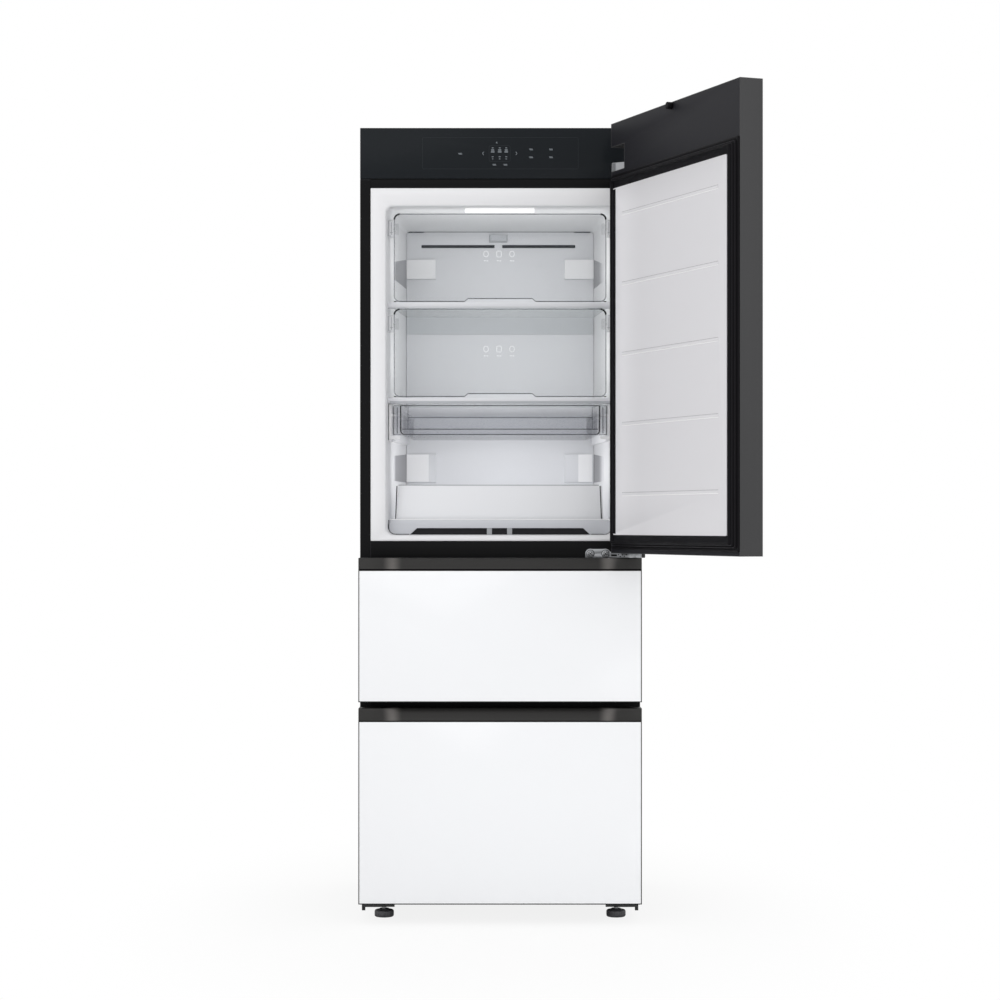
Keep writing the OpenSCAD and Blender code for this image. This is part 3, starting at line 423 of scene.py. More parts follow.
# Glass printed black behind gives a deep, even blue-black; the marks are a matt grey print.
panel_glass = moulded("printed_black_glass", "#1f2225", 0.25, shine=0.05)
finish("control_glass", panel_glass, 0.6)
finish("control_housing", moulded("black_abs", "#1b1c1e", 0.6, shine=0.2))
print_grey = moulded("faint_grey_print", "#2c2f32", 0.4, shine=0.05)
print_light = moulded("light_grey_print", "#8f959b", 0.4, shine=0.1)
print_face = -0.05
panel_outline = outline_strokes(183.5, 1768.5, 1842.5, 3, 0.9, 0.6)
display_outline = outline_strokes(25, 1786, 1823.5, 5, 0.9, -1)
flat_marks("control_outline", panel_outline + display_outline, print_face, "cabinet", print_grey)
# Each of the display's three columns is a stack of dashes (z, half length, width).
column = [(1818, 2.2, 1.4), (1813, 3.6, 2.0), (1808.5, 4.2, 2.0), (1797, 2.4, 1.2), (1792, 1.6, 1.2)]
dashes = [(x - half, z, x + half, z, width) for x in (-17.5, -1, 14.5) for z, half, width in column]
for x, way in ((-41.5, 1), (40, -1)):
    dashes += [(x + 3 * way, 1809, x, 1805, 0.9), (x, 1805, x + 3 * way, 1801, 0.9)]
touch_spots = [(73, 1814.5), (120, 1814.5), (73, 1796), (120, 1796)]
touch_spots += [(-94, 1804.5), (-13.5, 1778.5), (12.5, 1778.5)]
for x, z in touch_spots:
    dashes += [(x - 4.5, z + 0.9, x + 3.6, z + 0.9, 1.0), (x - 3.6, z - 1.2, x + 4.5, z - 1.2, 1.0)]
dashes += [(-9.4, 1829.4, -7.4, 1832.4, 1.0), (-8.4, 1829.4, -6, 1829.4, 1.0)]
flat_marks("control_dashes", dashes, print_face, "cabinet", print_light)


# ---- Duct cover, its slots and cap, and the ceiling lamp ----
# A white ABS cover closes the rear wall. Cold air leaves its two long slots, which look nearly black,
# and a small cap hides the temperature sensor. The lamp's opal lens sits flush in the ceiling.

# Moulded ABS is a soft satin white, a shade greyer than the liner, and the shade at its joints is painted as
# thin grey lines.
cover_white = moulded("duct_cover_abs", "#dcdde0", 0.45, mottled=0.02, shine=0.3)
stop_painted_light = moulded("box_stop_painted_light", "#f3f3f4", 0.45, shine=0.2)
duct_dark = moulded("shaded_duct", "#0d0e10", 0.8, shine=0.02)
seam_grey = moulded("shaded_seam", "#3a3d41", 0.7, shine=0.05)
soft_shade = moulded("soft_painted_shade", "#a3a5a8", 0.6, shine=0.1)
rail_grey = moulded("rear_rail_abs", "#c2c5c8", 0.45, shine=0.2)
finish("duct_cover", cover_white, 1.2)
finish("sensor_cap", moulded("cap_abs", "#c3c5c9", 0.4, shine=0.3), 0.8)
cover_face, stop_face, slot_floor = 422.9, 413.9, 431.4
# Thin sheets on the box stops' faces paint them lighter, as painted light from the tier lamps.
stops = both_sides(163, 236, stop_face - 0.3, stop_face, 1550.4, 1598.4)
stops += [(x0, x1, stop_face - 0.3, stop_face, 1038, 1107) for x0, x1 in ((-236, -180), (197.5, 232))]
bars("box_stop_lit_faces", stops, "cabinet", stop_painted_light)
slots = [(x0, x1, 425, slot_floor, 1629.1, 1636.6) for x0, x1 in ((-198.9, -14.1), (5.4, 189.9))]
bars("slot_shades", slots, "cabinet", duct_dark)
cover_top, line = 1669.9, cover_face - 1.5
seams = [(x0, x1, line, cover_face, 1667.2, cover_top) for x0, x1 in ((-236, -193), (187, 228))]
bars("duct_seams", seams, "cabinet", seam_grey)
bars("duct_soft_seams", [(-193, 187, 421.8, cover_face, 1667.8, cover_top)], "cabinet", soft_shade)
under_cap = [(-28, 18, line, cover_face, 1642.6, 1645), (-27.4, -25, line, cover_face, 1645, 1662.6)]
under_cap += [(17, 18.6, line, cover_face, 1645, 1662.6)]
bars("cap_shadow", under_cap, "cabinet", soft_shade)
bars("rear_rail", [(-236, 236, 420.5, cover_face, 1410, 1455)], "cabinet", rail_grey)


def filleted(corners, radii, per_arc=6):
    """A polygon with round corners: each arc meets the corner's sides at radius / tan(half angle) from it."""
    corners, out = np.asarray(corners, float), []
    for k, radius in enumerate(radii):
        here, before, after = corners[k], corners[k - 1], corners[(k + 1) % len(corners)]
        u, v = before - here, after - here
        u, v = u / np.hypot(*u), v / np.hypot(*v)
        half = np.arccos(np.clip(u @ v, -1, 1)) / 2
        reach = radius / np.tan(half)
        centre = here + (u + v) / np.hypot(*(u + v)) * radius / np.sin(half)
        start, end = here + u * reach - centre, here + v * reach - centre
        a0, a1 = np.arctan2(start[1], start[0]), np.arctan2(end[1], end[0])
        sweep = (a1 - a0 + np.pi) % (2 * np.pi) - np.pi
        turn = a0 + sweep * np.linspace(0, 1, per_arc)
        out.append(centre + radius * np.stack([np.cos(turn), np.sin(turn)], -1))
    return np.concatenate(out)


def inward(outline, distance):
    """An anticlockwise outline moved towards its inside along its corner normals."""
    ahead = np.roll(outline, -1, axis=0) - outline
    ahead /= np.linalg.norm(ahead, axis=1, keepdims=True)
    normal = np.stack([-ahead[:, 1], ahead[:, 0]], -1)
    mean = normal + np.roll(normal, 1, axis=0)
    mean /= np.linalg.norm(mean, axis=1, keepdims=True)
    return outline + mean * distance / np.clip((mean * normal).sum(1, keepdims=True), 0.5, 1)


def plate(name, outline, y0, y1, edge, body, material, rim=None, rim_width=2.4, move=to_frame):
    """A flat moulding whose rings step in by edge at both faces; its rim band may take a second material."""
    steps = [(rim_width, y0), (edge, y0), (0, y0 + edge), (0, y1 - edge), (edge, y1), (rim_width, y1)]
    rings = np.stack([np.insert(inward(outline, d), 1, y, axis=1) for d, y in steps])
    faces = skin_rings(len(steps), len(outline))
    made = hang(name, move(rings.reshape(-1, 3)), faces, body, material)
    if rim:
        made.data.materials.append(rim)
        bands = [1] * (len(faces) - 2) + [0, 0]
        made.data.polygons.foreach_set("material_index", bands)
    made.data.polygons[-1].use_smooth = made.data.polygons[-2].use_smooth = False
    return made


def by_wall(side):
    """Places (y, inset from the side wall, z): the wall stands at x = 266.6 - 0.08 (y - 52.5) on its side."""
    wall_x, wall_front, lean = 266.6, 52.5, 0.0799

    def move(points):
        y, inset, z = np.asarray(points, float).T
        return to_frame(np.stack([side * (wall_x - lean * (y - wall_front) - inset), y, z], -1))

    return move


# The recesses beside the box stops deepen towards the back, so their shade is painted darker with depth.
recess_back = 422
for side, label, recess_front, y0, y1 in ((-1, "left", 160, 0.12, 0.165), (1, "right", 215, 0.18, 0.28)):
    recess_painted_shade = depth_tone(f"{label}_wall_recess_painted_shade", "#e2e2e4", "#9c9c9f", y0, y1, 0.5)
    for tier, low, front_top, back_top in (("top", 1525, 1566, 1599), ("floor", 1036, 1096, 1107)):
        corners = [(recess_front, low), (recess_back, low)]
        corners += [(recess_back, back_top), (recess_front, front_top)]
        shape = filleted(corners, [6, 2, 2, 6], 4)
        piece_name = f"{label}_{tier}_recess"
        plate(piece_name, shape, 0.1, 0.6, 0.1, "cabinet", recess_painted_shade, rim_width=1.0, move=by_wall(side))


def lamp_lens():
    """Opal acrylic that glows evenly."""
    made, tree, out = new_material("opal_lamp_lens")
    glow = {"Emission_Color": linear("#ffffff"), "Emission_Strength": 0.5}
    base = linear("#f0f0f0")
    surface = add_node(tree, "ShaderNodeBsdfPrincipled", Roughness=0.3, Base_Color=base, **glow)
    tree.links.new(surface.outputs[0], out.inputs["Surface"])
    return made


finish("ceiling_lamp", lamp_lens(), 0.8)


# ---- Glass shelves and their trims ----
# Tempered panes rest on the liner's ledges, and a white ABS trim is clipped over each front edge.
# The trim hides the ground edge of the glass and has a folded lower lip that catches less light.


def clear_plastic(name, colour, alpha, roughness=0.08, shine=0.4):
    """Thin clear moulding: a tinted share of plain transparency, and the rest a smooth gloss surface."""
    made, tree, out = new_material(name)
    sockets = {"Base_Color": linear(colour), "Roughness": roughness, "Specular_IOR_Level": shine}
    surface = add_node(tree, "ShaderNodeBsdfPrincipled", Alpha=alpha, **sockets)
    place = object_coordinates(tree)
    wave = add_node(tree, "ShaderNodeTexNoise", {"Vector": place}, Scale=12.0, Detail=1.0)
    height = {"Height": wave.outputs["Fac"]}
    bump = add_node(tree, "ShaderNodeBump", height, Strength=0.05, Distance=0.0006)
    tree.links.new(bump.outputs["Normal"], surface.inputs["Normal"])
    tree.links.new(surface.outputs[0], out.inputs["Surface"])
    return made


# The trims are satin white over a shaded fold, and the clear float glass has a faint green-grey tint.
trim_shade = moulded("trim_shade", "#adafb4", 0.5, shine=0.2)
bars("trim_fold", [(-262, 262, 47.6, 48.2, 1218.2, 1223.4)], "cabinet", trim_shade)
finish("shelf_trims", moulded("trim_abs", "#d9dade", 0.35, shine=0.3), 1.5)
finish("shelf_panes", clear_plastic("tempered_shelf_glass", "#c5cfcf", 0.25), 0.4)


# ---- Lift-up guards ----
# Clear polystyrene flaps hinge on side pins. Their thickened rim bends the light, so it reads as a
# thin dark line round a nearly clear pane, with a raised grip notch along the bottom.

GUARD_FACE, GUARD_BACK = 50, 53
GUARD_HALF, GUARD_HEIGHT, GUARD_CORNER = 252.8, 210.3, 14
PIVOT_RISE = 173.8


def mirrored(strokes):
    """The same strokes on the other side of the middle."""
    return [(-x0, z0, -x1, z1, width) for x0, z0, x1, z1, width in strokes]


def arc_strokes(side, centre_x, centre_z, radius, start, end, width):
    """Five strokes along an arc: centre plus radius times (cos a, sin a), with X multiplied by side."""
    turn = np.radians(np.linspace(start, end, 6))
    arc = np.stack([side * (centre_x + radius * np.cos(turn)), centre_z + radius * np.sin(turn)], -1).tolist()
    return [(*a, *b, width) for a, b in zip(arc[:-1], arc[1:])]


def guard_pane(flap, low):
    """The flap itself: a rounded pane with a notch in its lower edge, and a darker rim."""
    z0, z1, notch = low + 0.2, low + GUARD_HEIGHT - 0.2, low + 7
    corners = [(GUARD_HALF, z0), (GUARD_HALF, z1), (-GUARD_HALF, z1), (-GUARD_HALF, z0)]
    corners += [(-84, z0), (-76, notch), (76, notch), (84, z0)]
    shape = filleted(corners, [GUARD_CORNER] * 4 + [3] * 4)
    name, body = f"guard_{flap}_pane", f"{flap}_guard"
    pane = plate(name, shape, GUARD_FACE, GUARD_BACK, 0.7, body, clear_flap, flap_rim)
    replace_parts(pane, f"guard_{flap}")


def guard_pivots(flap, pivot):
    """A pin on each side, in the boss that carries it."""
    pins = both_sides(252.6, 257, 52.8, 55.2, pivot - 2.2, pivot + 2.2)
    bosses = both_sides(241, GUARD_HALF, GUARD_BACK, 57.5, pivot - 13, pivot + 13)
    bars(f"guard_{flap}_pivots", pins + bosses, f"{flap}_guard", clear_flap)


def guard_prints(flap, low):
    """Three printed signs, each a ring over two short dashes; the middle ring is squarer."""
    marks = []
    for x, corner in ((-33.5, 5.2), (-2.6, 2), (28.3, 5.2)):
        middle = low + 114
        marks += [(x - 5, middle - 16, x - 0.8, middle - 16, 2.2)]
        marks += [(x + 1.2, middle - 16.4, x + 5, middle - 16.4, 2.2)]
        marks += outline_strokes(5.4, middle - 7, middle + 7, corner, 1.5, x, 3)
    flat_marks(f"guard_{flap}_marks", marks, GUARD_FACE - 0.2, f"{flap}_guard", flap_print)


def guard_bent_light(flap, low):
    """The dark upper corners and lower ends, and the fine line along the lower edge and its notch."""
    corners = []
    for side in (-1, 1):
        corners += arc_strokes(side, 238.3, low + GUARD_HEIGHT - 14.7, 13.2, 2, 88, 4.2)
    corners += [(side * 247, low + 1.1, side * 252.6, low + 1.1, 2.4) for side in (-1, 1)]
    flat_marks(f"guard_{flap}_corners", corners, GUARD_FACE - 0.2, f"{flap}_guard", flap_dark)
    line = [(-252, low + 1.2, -86, low + 1.2, 1.3), (86, low + 1.2, 252, low + 1.2, 1.3)]
    line += [(-75, low + 8.2, 75, low + 8.2, 1.3)]
    flat_marks(f"guard_{flap}_foot_line", line, GUARD_FACE - 0.2, f"{flap}_guard", flap_line)


def bracket_edges(flap, pivot):
    """Painted shade along the edges of the two pivot brackets, which stay on the side walls."""
    edges = [(-264.6, pivot - 17, -264.6, pivot + 19, 1.6), (-258.4, pivot - 14, -258.4, pivot + 16, 1.4)]
    edges += [(-264.6, pivot + 19, -256, pivot + 19, 1.3), (-262, pivot - 9, -255, pivot - 9, 1.3)]
    edges += [(-264.6, pivot - 17, -259, pivot - 17, 1.6)]
    flat_marks(f"guard_{flap}_bracket_edges", edges + mirrored(edges), GUARD_FACE - 0.3, "cabinet", soft_shade)


# Nearly clear panes, darker where a rim or a corner bends the light away, and one pale printed layer.
clear_flap = clear_plastic("clear_grey_polystyrene", "#8c9197", 0.09)
flap_rim = clear_plastic("rim_of_clear_polystyrene", "#747a80", 0.5)
flap_print = clear_plastic("pale_guard_print", "#fbfcfd", 0.9)
flap_line = clear_plastic("bent_light_line", "#54585d", 0.75)
flap_dark = clear_plastic("bent_light_corner", "#1c1e21", 0.95)
for flap, low in (("upper", 1459.3), ("lower", 1233.3)):
    guard_pane(flap, low)
    guard_pivots(flap, low + PIVOT_RISE)
    guard_prints(flap, low)
    guard_bent_light(flap, low)
    bracket_edges(flap, low + PIVOT_RISE)
finish("guard_brackets", cover_white, 1.0)


# ---- Clear drawer and its guides ----
# A shallow box moulded in clear polystyrene runs between two white guides on the side walls. Its
# moulded edges gather the light away, so they read as fine dark lines, and its rear wall has a weak painted
# glow.


def painted_glow_rear_wall():
    """Clear polystyrene in front of the lamp, with a weak even painted glow for the light it gathers."""
    made, tree, out = new_material("lit_rear_wall_of_clear_drawer")
    grey = linear("#c9cbd0")
    glow = {"Emission_Color": grey, "Emission_Strength": 0.1}
    surface = add_node(tree, "ShaderNodeBsdfPrincipled", Base_Color=grey, Roughness=0.3, Alpha=0.55, **glow)
    tree.links.new(surface.outputs[0], out.inputs["Surface"])
    return made


# A blue-grey tint that hardly dims what lies behind it.
finish("clear_drawer", clear_plastic("clear_blue_grey_polystyrene", "#b6b9c3", 0.14), 0.8)
drawer_line = clear_plastic("dark_edge_of_clear_drawer", "#25262c", 0.92)
drawer_soft = clear_plastic("soft_edge_of_clear_drawer", "#5f636b", 0.55)
drawer_haze = clear_plastic("clear_drawer_floor", "#c3c5cc", 0.12)
drawer_face = 49.8
side_curve = [(-236.6, 1213, -236.2, 1151, 3.2), (-236.2, 1151, -234, 1146.6, 3.0)]
side_curve += [(-234, 1146.6, -229.5, 1144.6, 2.6)]
dark_lines = side_curve + mirrored(side_curve)
dark_lines += [(-229.5, 1144.4, 229.5, 1144.4, 1.9), (-233, 1156.9, 233, 1156.9, 1.8)]
dark_lines += [(-253, 1143, -253, 1212, 1.5), (253, 1143, 253, 1212, 1.5), (-236, 1212.8, 236, 1212.8, 2.0)]
flat_marks("clear_drawer_edges", dark_lines, drawer_face, "clear_bin", drawer_line)
flange_ends = [(-253, 1212.6, -236, 1212.6, 1.6), (-253, 1143.6, -236, 1143.6, 1.6)]
flange_ends += [(-219, 1158.6, -219, 1209.6, 1.4), (-244.5, 1146, -244.5, 1209, 2.6)]
soft_lines = [(-219, 1184.2, 219, 1184.2, 1.9)] + flange_ends + mirrored(flange_ends)
flat_marks("clear_drawer_soft_edges", soft_lines, drawer_face, "clear_bin", drawer_soft)
bars("clear_drawer_floor", [(-217, 217, 57, 386, 1141.2, 1141.9)], "clear_bin", drawer_haze)
bars("clear_drawer_lit_wall", [(-217, 217, 384.4, 384.9, 1142.4, 1198.4)], "clear_bin", painted_glow_rear_wall())
bars("guide_edges", both_sides(264.8, 266.6, 57.4, 58.2, 1131, 1216), "cabinet", seam_grey)
bars("guide_feet", both_sides(239, 264.6, 55.4, 57.2, 1133.6, 1141), "cabinet", liner_white)
finish("drawer_guides", liner_white, 1.0)


# ---- Floor tray and guard plate ----
# The compartment's floor is a moulded ABS tray with a rolled lip, cut away in front over a dark
# recess with two posts. A low leaning plate stands in it and keeps the tubs off the mouth.

# Satin white mouldings; the recess is unlit and nearly black, and its posts and the plate's top line are
# painted shade.
finish("floor_tray", moulded("tray_abs", "#c6c8cd", 0.4, shine=0.3), 1.0)
finish("guard_plate", moulded("gloss_white_abs", "#e6e7ea", 0.3, mottled=0.02, shine=0.25), 0.8)
lit_edge = moulded("lit_tray_edge", "#fafafa", 0.3)
cavity = moulded("shaded_cavity", "#2d2d2f", 0.8, shine=0.02)
recess_floor, post_top = 906.4, 921.4
bars("lip_highlight", [(-263, 263, 49.5, 50.2, 941.7, 943.1)], "cabinet", lit_edge)
bars("recess_shade", [(-213, 213, 55.2, 56, recess_floor, 921.6)], "cabinet", cavity)
posts = [(x0, x1, 51, 55, recess_floor, post_top) for x0, x1 in ((-31.4, -20.6), (16.6, 27.6))]
bars("recess_posts", posts, "cabinet", soft_shade)
lip_edges = [(-264.6, 941, -264.6, 921, 1.6), (264.6, 941, 264.6, 921, 1.6)]
for side in (-1, 1):
    lip_edges += arc_strokes(side, -249.6, 922, 15, 180, 268, 1.5)
    lip_edges += [(side * 249, 906.9, side * 217, 906.9, 1.5)]
flat_marks("lip_edges", lip_edges, 49.6, "cabinet", seam_grey)
slits = [(-248.6, 943.5, -245.4, 1022, 2.4), (241.2, 943.5, 238, 1022, 2.4)]
flat_marks("plate_slits", slits, 56.4, "cabinet", cavity)
flat_marks("plate_top_line", [(-243, 1024, 236, 1024, 1.8)], 68.6, "cabinet", soft_shade)


# ---- Door ----
# Back-painted glass is glued into a dark anodised frame over a foamed core, with a painted inner
# plate. A stepped PVC gasket sits in its groove round a white formed sheet with five ribs.

HINGE_AXIS = (306.4, -61.5)
DOOR_OPEN = math.radians(111.5)
RING_FREE, RING_HINGE = 337, 330
RING_LOW, RING_TOP = 864, 1751
RING_PLANE = -20
SHEET_FACE = -6.06


def to_open_door(points):
    """Closed-door front-plane millimetres, turned by DOOR_OPEN about the hinge axis, as frame metres."""
    axis = np.array([*HINGE_AXIS, 0])
    c, s = math.cos(DOOR_OPEN), math.sin(DOOR_OPEN)
    turned = (np.asarray(points, float) - axis) @ np.array([[c, s, 0], [-s, c, 0], [0, 0, 1]]) + axis
    return to_frame(turned)


def gasket_skin(name, steps, material):
    """The door's gasket ring: a profile of (hinge-side inset, inset elsewhere, height) swept round the door.

    The ring lies between x = -(RING_FREE - elsewhere) and RING_HINGE - hinge, and rises from RING_PLANE.
    """
    rows = []
    for hinge, elsewhere, height in steps:
        half_x = (RING_FREE + RING_HINGE - hinge - elsewhere) / 2
        middle_x = (elsewhere - hinge - (RING_FREE - RING_HINGE)) / 2
        low, top, y = RING_LOW + elsewhere, RING_TOP - elsewhere, RING_PLANE + height
        rows.append((half_x, low, top, 4, y, middle_x))
    return lofted_shell(name, rows, "door", material, to_open_door, per_arc=5)


# White glass is bright and even with a slight gloss, the frame and plate are satin dark greys, and
# the gasket is a soft matt black whose folds catch thin lines of light.
white_glass = moulded("back_painted_white_glass", "#f4f5f7", 0.12, shine=0.25)
frame_metal = moulded("dark_anodised_frame", "#3f3f40", 0.5, grain_mm=0.5, grain_depth=0.05, shine=0.2)
gasket_rubber = moulded("gasket_rubber", "#100f12", 0.55, grain_mm=2.0, grain_depth=0.05, shine=0.08)
plate_paint = moulded("inner_plate_paint", "#242428", 0.55, grain_mm=1.2, grain_depth=0.06, shine=0.08)
rubber_fold = moulded("lit_rubber_fold", "#302f33", 0.5, shine=0.1)
rib_light = moulded("lit_rib_flank", "#ffffff", 0.4)
rib_shade = moulded("shaded_rib_flank", "#a9a8ab", 0.6, shine=0.1)
finish("door_glass", white_glass, 0.5)
finish("door_frame", frame_metal, 0.4)
finish("door_base", plate_paint, 0.5)
# The door's white sheet is painted lighter towards its hinge edge, as painted light.
finish("door_liner", depth_tone("door_liner_sheet_painted_light", "#dedde0", "#f1f0f3", -0.3, -0.12, 0.45), 1.5)
finish("door_bumper", gasket_rubber, 1.0)

# Two low folds, then the tall crest that seals. It stays further in on the hinge side, to clear the cabinet.
foot_steps = [(8, 8, 0), (8, 8, 3.2), (8.8, 8.8, 4), (16, 15, 4), (16.6, 15.4, 2.6)]
first_fold = [(17.3, 15.8, 7), (18.2, 16.4, 8), (25, 20, 8), (25.7, 20.4, 6.2)]
second_fold = [(26.4, 20.8, 12), (27.4, 21.4, 13), (34.8, 22.6, 13), (35.6, 23, 12.2)]
crest = [(36.2, 23.3, 18.6), (37.2, 24, 19.6), (40, 26.8, 19.6), (41, 27.6, 18.4), (41.1, 28.2, 13.2)]
inner_edge = [(41.2, 40.4, 13.2), (41.4, 41, 12.4), (41.4, 41, 0)]
door_steps = foot_steps + first_fold + second_fold + crest + inner_edge
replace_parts(gasket_skin("door_gasket_loop", door_steps, gasket_rubber), "door_gasket")
bars("gasket_hinge_lip", [(273, 290, -6.2, -4.6, 909, 1705.5)], "door", gasket_rubber, to_open_door)
lit_strip = [(0, 0), (0, 0.12), (1.3, 0.12), (1.3, 0)]
for number, hinge, elsewhere, height in ((1, 18.6, 17, 8), (2, 28.2, 21.5, 13)):
    strip = [(hinge + step, elsewhere + step * 0.8, height + rise) for step, rise in lit_strip]
    gasket_skin(f"gasket_fold_{number}", strip, rubber_fold)
bars("gasket_lip_fold", [(286.2, 288.6, -4.6, -4.4, 912, 1702)], "door", rubber_fold, to_open_door)
rib_left, rib_right, rib_low, rib_pitch = -256.5, 237.5, 1000, 161.25
for i in range(5):
    middle = rib_low + i * rib_pitch
    lit = [(rib_left, middle - 3.6, rib_right, middle - 3.6, 1.8)]
    shaded = [(rib_left, middle + 3.4, rib_right, middle + 3.4, 1.2)]
    flat_marks(f"rib_{i + 1}_light", lit, SHEET_FACE, "door", rib_light, to_open_door)
    flat_marks(f"rib_{i + 1}_shade", shaded, SHEET_FACE, "door", rib_shade, to_open_door)


# ---- Hinges ----
# Zinc-plated steel pressings carry the door: an arm in a notch above, and below a plate fixed on
# the cross beam by two cross-recess screws, with a black nylon stop at its outer end.

SCREWS_X = (213, 248.3)
SCREW_Z = 861.3


def along_face(x0, y0, x1, y1):
    """Places (run, depth, z) on an upright face that runs from (x0, y0) to (x1, y1), with depth into it."""
    length = math.hypot(x1 - x0, y1 - y0)
    ux, uy = (x1 - x0) / length, (y1 - y0) / length

    def move(points):
        run, depth, z = np.asarray(points, float).T
        return to_frame(np.stack([x0 + ux * run - uy * depth, y0 + uy * run + ux * depth, z], -1))

    return move


def circle_strokes(radius, width):
    """A ring of strokes round each screw."""
    low, top = SCREW_Z - radius, SCREW_Z + radius
    return [stroke for x in SCREWS_X for stroke in outline_strokes(radius, low, top, radius, width, x)]


# Zinc plate is a light grey metal with a fine crystal grain; the shade in its gaps and recesses is painted
# dark.
zinc = moulded("zinc_plate", "#a6a8ab", 0.4, grain_mm=1.0, grain_depth=0.04, Metallic=0.6)
hinge_gap_shade = moulded("painted_hinge_gap_shade", "#1a1a1b", 0.6, shine=0.1)
hinge_mid = moulded("shaded_zinc", "#6f7174", 0.5, Metallic=0.4)
for part in ("upper_hinge", "lower_hinge", "hinge_bushes"):
    finish(part, zinc, 0.4)
finish("hinge_screws", moulded("screw_steel", "#b8babd", 0.35, Metallic=0.6), 0.4)
finish("hinge_stop", moulded("black_nylon", "#151516", 0.5), 0.8)
flat_marks("screw_seats", circle_strokes(8.7, 1.9), -3.25, "cabinet", hinge_gap_shade)
cross_arms = ((3.4, 2.6), (2.6, -3.4))
crosses = [(x + a, SCREW_Z - b, x - a, SCREW_Z + b, 2.1) for x in SCREWS_X for a, b in cross_arms]
flat_marks("screw_recesses", crosses + circle_strokes(5.6, 1.2), -6.6, "cabinet", hinge_gap_shade)
# Pressed slots (run from, to, low, high) in the lower arm's outer face, drawn in painted shade.
arm_slots = [(10, 34, 855.6, 860.2), (38, 42, 858, 861), (45, 49, 854, 857), (53, 58, 857.5, 860.5)]
arm_slots += [(62, 66, 854.5, 857.5), (70, 74, 858, 861)]
slot_rows = [(start, end, -0.2, 0.2, z0, z1) for start, end, z0, z1 in arm_slots]
bars("lower_arm_slots", slot_rows, "cabinet", hinge_gap_shade, along_face(256, -3, 297.4, -68.5))
arm_side = along_face(262.4, -39.5, 302.4, -66)
bars("upper_arm_shade", [(0.4, 9.5, -0.2, 0.2, 1753.4, 1775.6)], "cabinet", hinge_mid, arm_side)


# ---- Drawers ----
# Each front is a pane of the door's white glass in a dark painted shell under a brushed metal handle
# channel, whose scoop fades out at both ends. The bins hang on zinc-plated telescopic rails.

DRAWER_FACE = -73.5
SCOOP_DEPTH = 15
CHANNEL_HEIGHT = 30
CHANNEL_BACK = -20
SCOOP_END = 281
SCOOP_EASE = 50
HIGHLIGHT_MIDDLE = 0.251
HIGHLIGHT_REACH = 0.024


def brushed_handle_painted_highlights():
    """Brushed metal with two soft upright bands of painted highlight, where the scoop's ends would catch the
    light.
    """
    made, tree, out = new_material("dark_brushed_handle")
    surface = add_node(tree, "ShaderNodeBsdfPrincipled", Roughness=0.45, Metallic=0.4)
    across = add_node(tree, "ShaderNodeSeparateXYZ", {"Vector": object_coordinates(tree)})
    far = add_node(tree, "ShaderNodeMath", {0: across.outputs["X"]}, operation="ABSOLUTE")
    off_band = add_node(tree, "ShaderNodeMath", {0: far.outputs[0]}, operation="SUBTRACT")
    off_band.inputs[1].default_value = HIGHLIGHT_MIDDLE
    away = add_node(tree, "ShaderNodeMath", {0: off_band.outputs[0]}, operation="ABSOLUTE")
    reach = {"From_Min": 0.0, "From_Max": HIGHLIGHT_REACH, "To_Min": 1.0, "To_Max": 0.0}
    distance = {"Value": away.outputs[0]}
    band = add_node(tree, "ShaderNodeMapRange", distance, interpolation_type="SMOOTHSTEP", **reach)
    tone = add_node(tree, "ShaderNodeMix", {0: band.outputs[0]}, data_type="RGBA")
    tone.inputs[6].default_value, tone.inputs[7].default_value = linear("#222120"), linear("#5a5755")
    tree.links.new(tone.outputs[2], surface.inputs["Base Color"])
    strokes = object_coordinates(tree, (0.05, 1, 1))
    brushed = add_node(tree, "ShaderNodeTexNoise", {"Vector": strokes}, Scale=2500.0)
    height = {"Height": brushed.outputs["Fac"]}
    bump = add_node(tree, "ShaderNodeBump", height, Strength=0.08, Distance=0.0003)
    tree.links.new(bump.outputs["Normal"], surface.inputs["Normal"])
    tree.links.new(surface.outputs[0], out.inputs["Surface"])
    return made


def handle_channel(name, top, body):
    """The scooped channel: its front is y = DRAWER_FACE + SCOOP_DEPTH t^1.6 S(x).

    t rises from 0 near the bottom edge to 1 at the top, and S is a smoothstep of x that ends the scoop.
    """
    z = np.concatenate([[0.5, 2.0], np.linspace(3, 29.2, 13), [CHANNEL_HEIGHT]])
    ends = [-HALF_WIDTH, -HALF_WIDTH + 0.4], [HALF_WIDTH - 0.4, HALF_WIDTH]
    x = np.concatenate([ends[0], np.linspace(-284, -228, 29), np.linspace(228, 284, 29), ends[1]])
    ease = np.clip((SCOOP_END - np.abs(x)) / SCOOP_EASE, 0, 1)
    ease = (ease * ease * (3 - 2 * ease))[:, None]
    rise = np.clip((z - 3) / (CHANNEL_HEIGHT - 3), 0, 1)[None, :]
    scoop = DRAWER_FACE + SCOOP_DEPTH * rise**1.6 * ease
    front = np.stack([scoop, np.broadcast_to(z, (len(x), len(z)))], -1)
    front[:, 0, 0] += 0.5
    front[:, -1, 0] += 0.6
    back = [(CHANNEL_BACK - 0.4, CHANNEL_HEIGHT), (CHANNEL_BACK, CHANNEL_HEIGHT - 0.4), (CHANNEL_BACK, 0.4)]
    back += [(CHANNEL_BACK - 0.4, 0), (DRAWER_FACE + 0.9, 0)]
    ring = np.concatenate([front, np.broadcast_to(back, (len(x), len(back), 2))], axis=1)
    ring[[0, -1]] = ring[[0, -1]] * [0.992, 0.98] + [-0.37, 0.3]
    grid = np.insert(ring, 0, x[:, None], axis=2) + [0, 0, top - CHANNEL_HEIGHT]
    faces = skin_rings(len(x), ring.shape[1])
    return hang(name, to_frame(grid.reshape(-1, 3)), faces, body, handle_metal_painted_highlights)


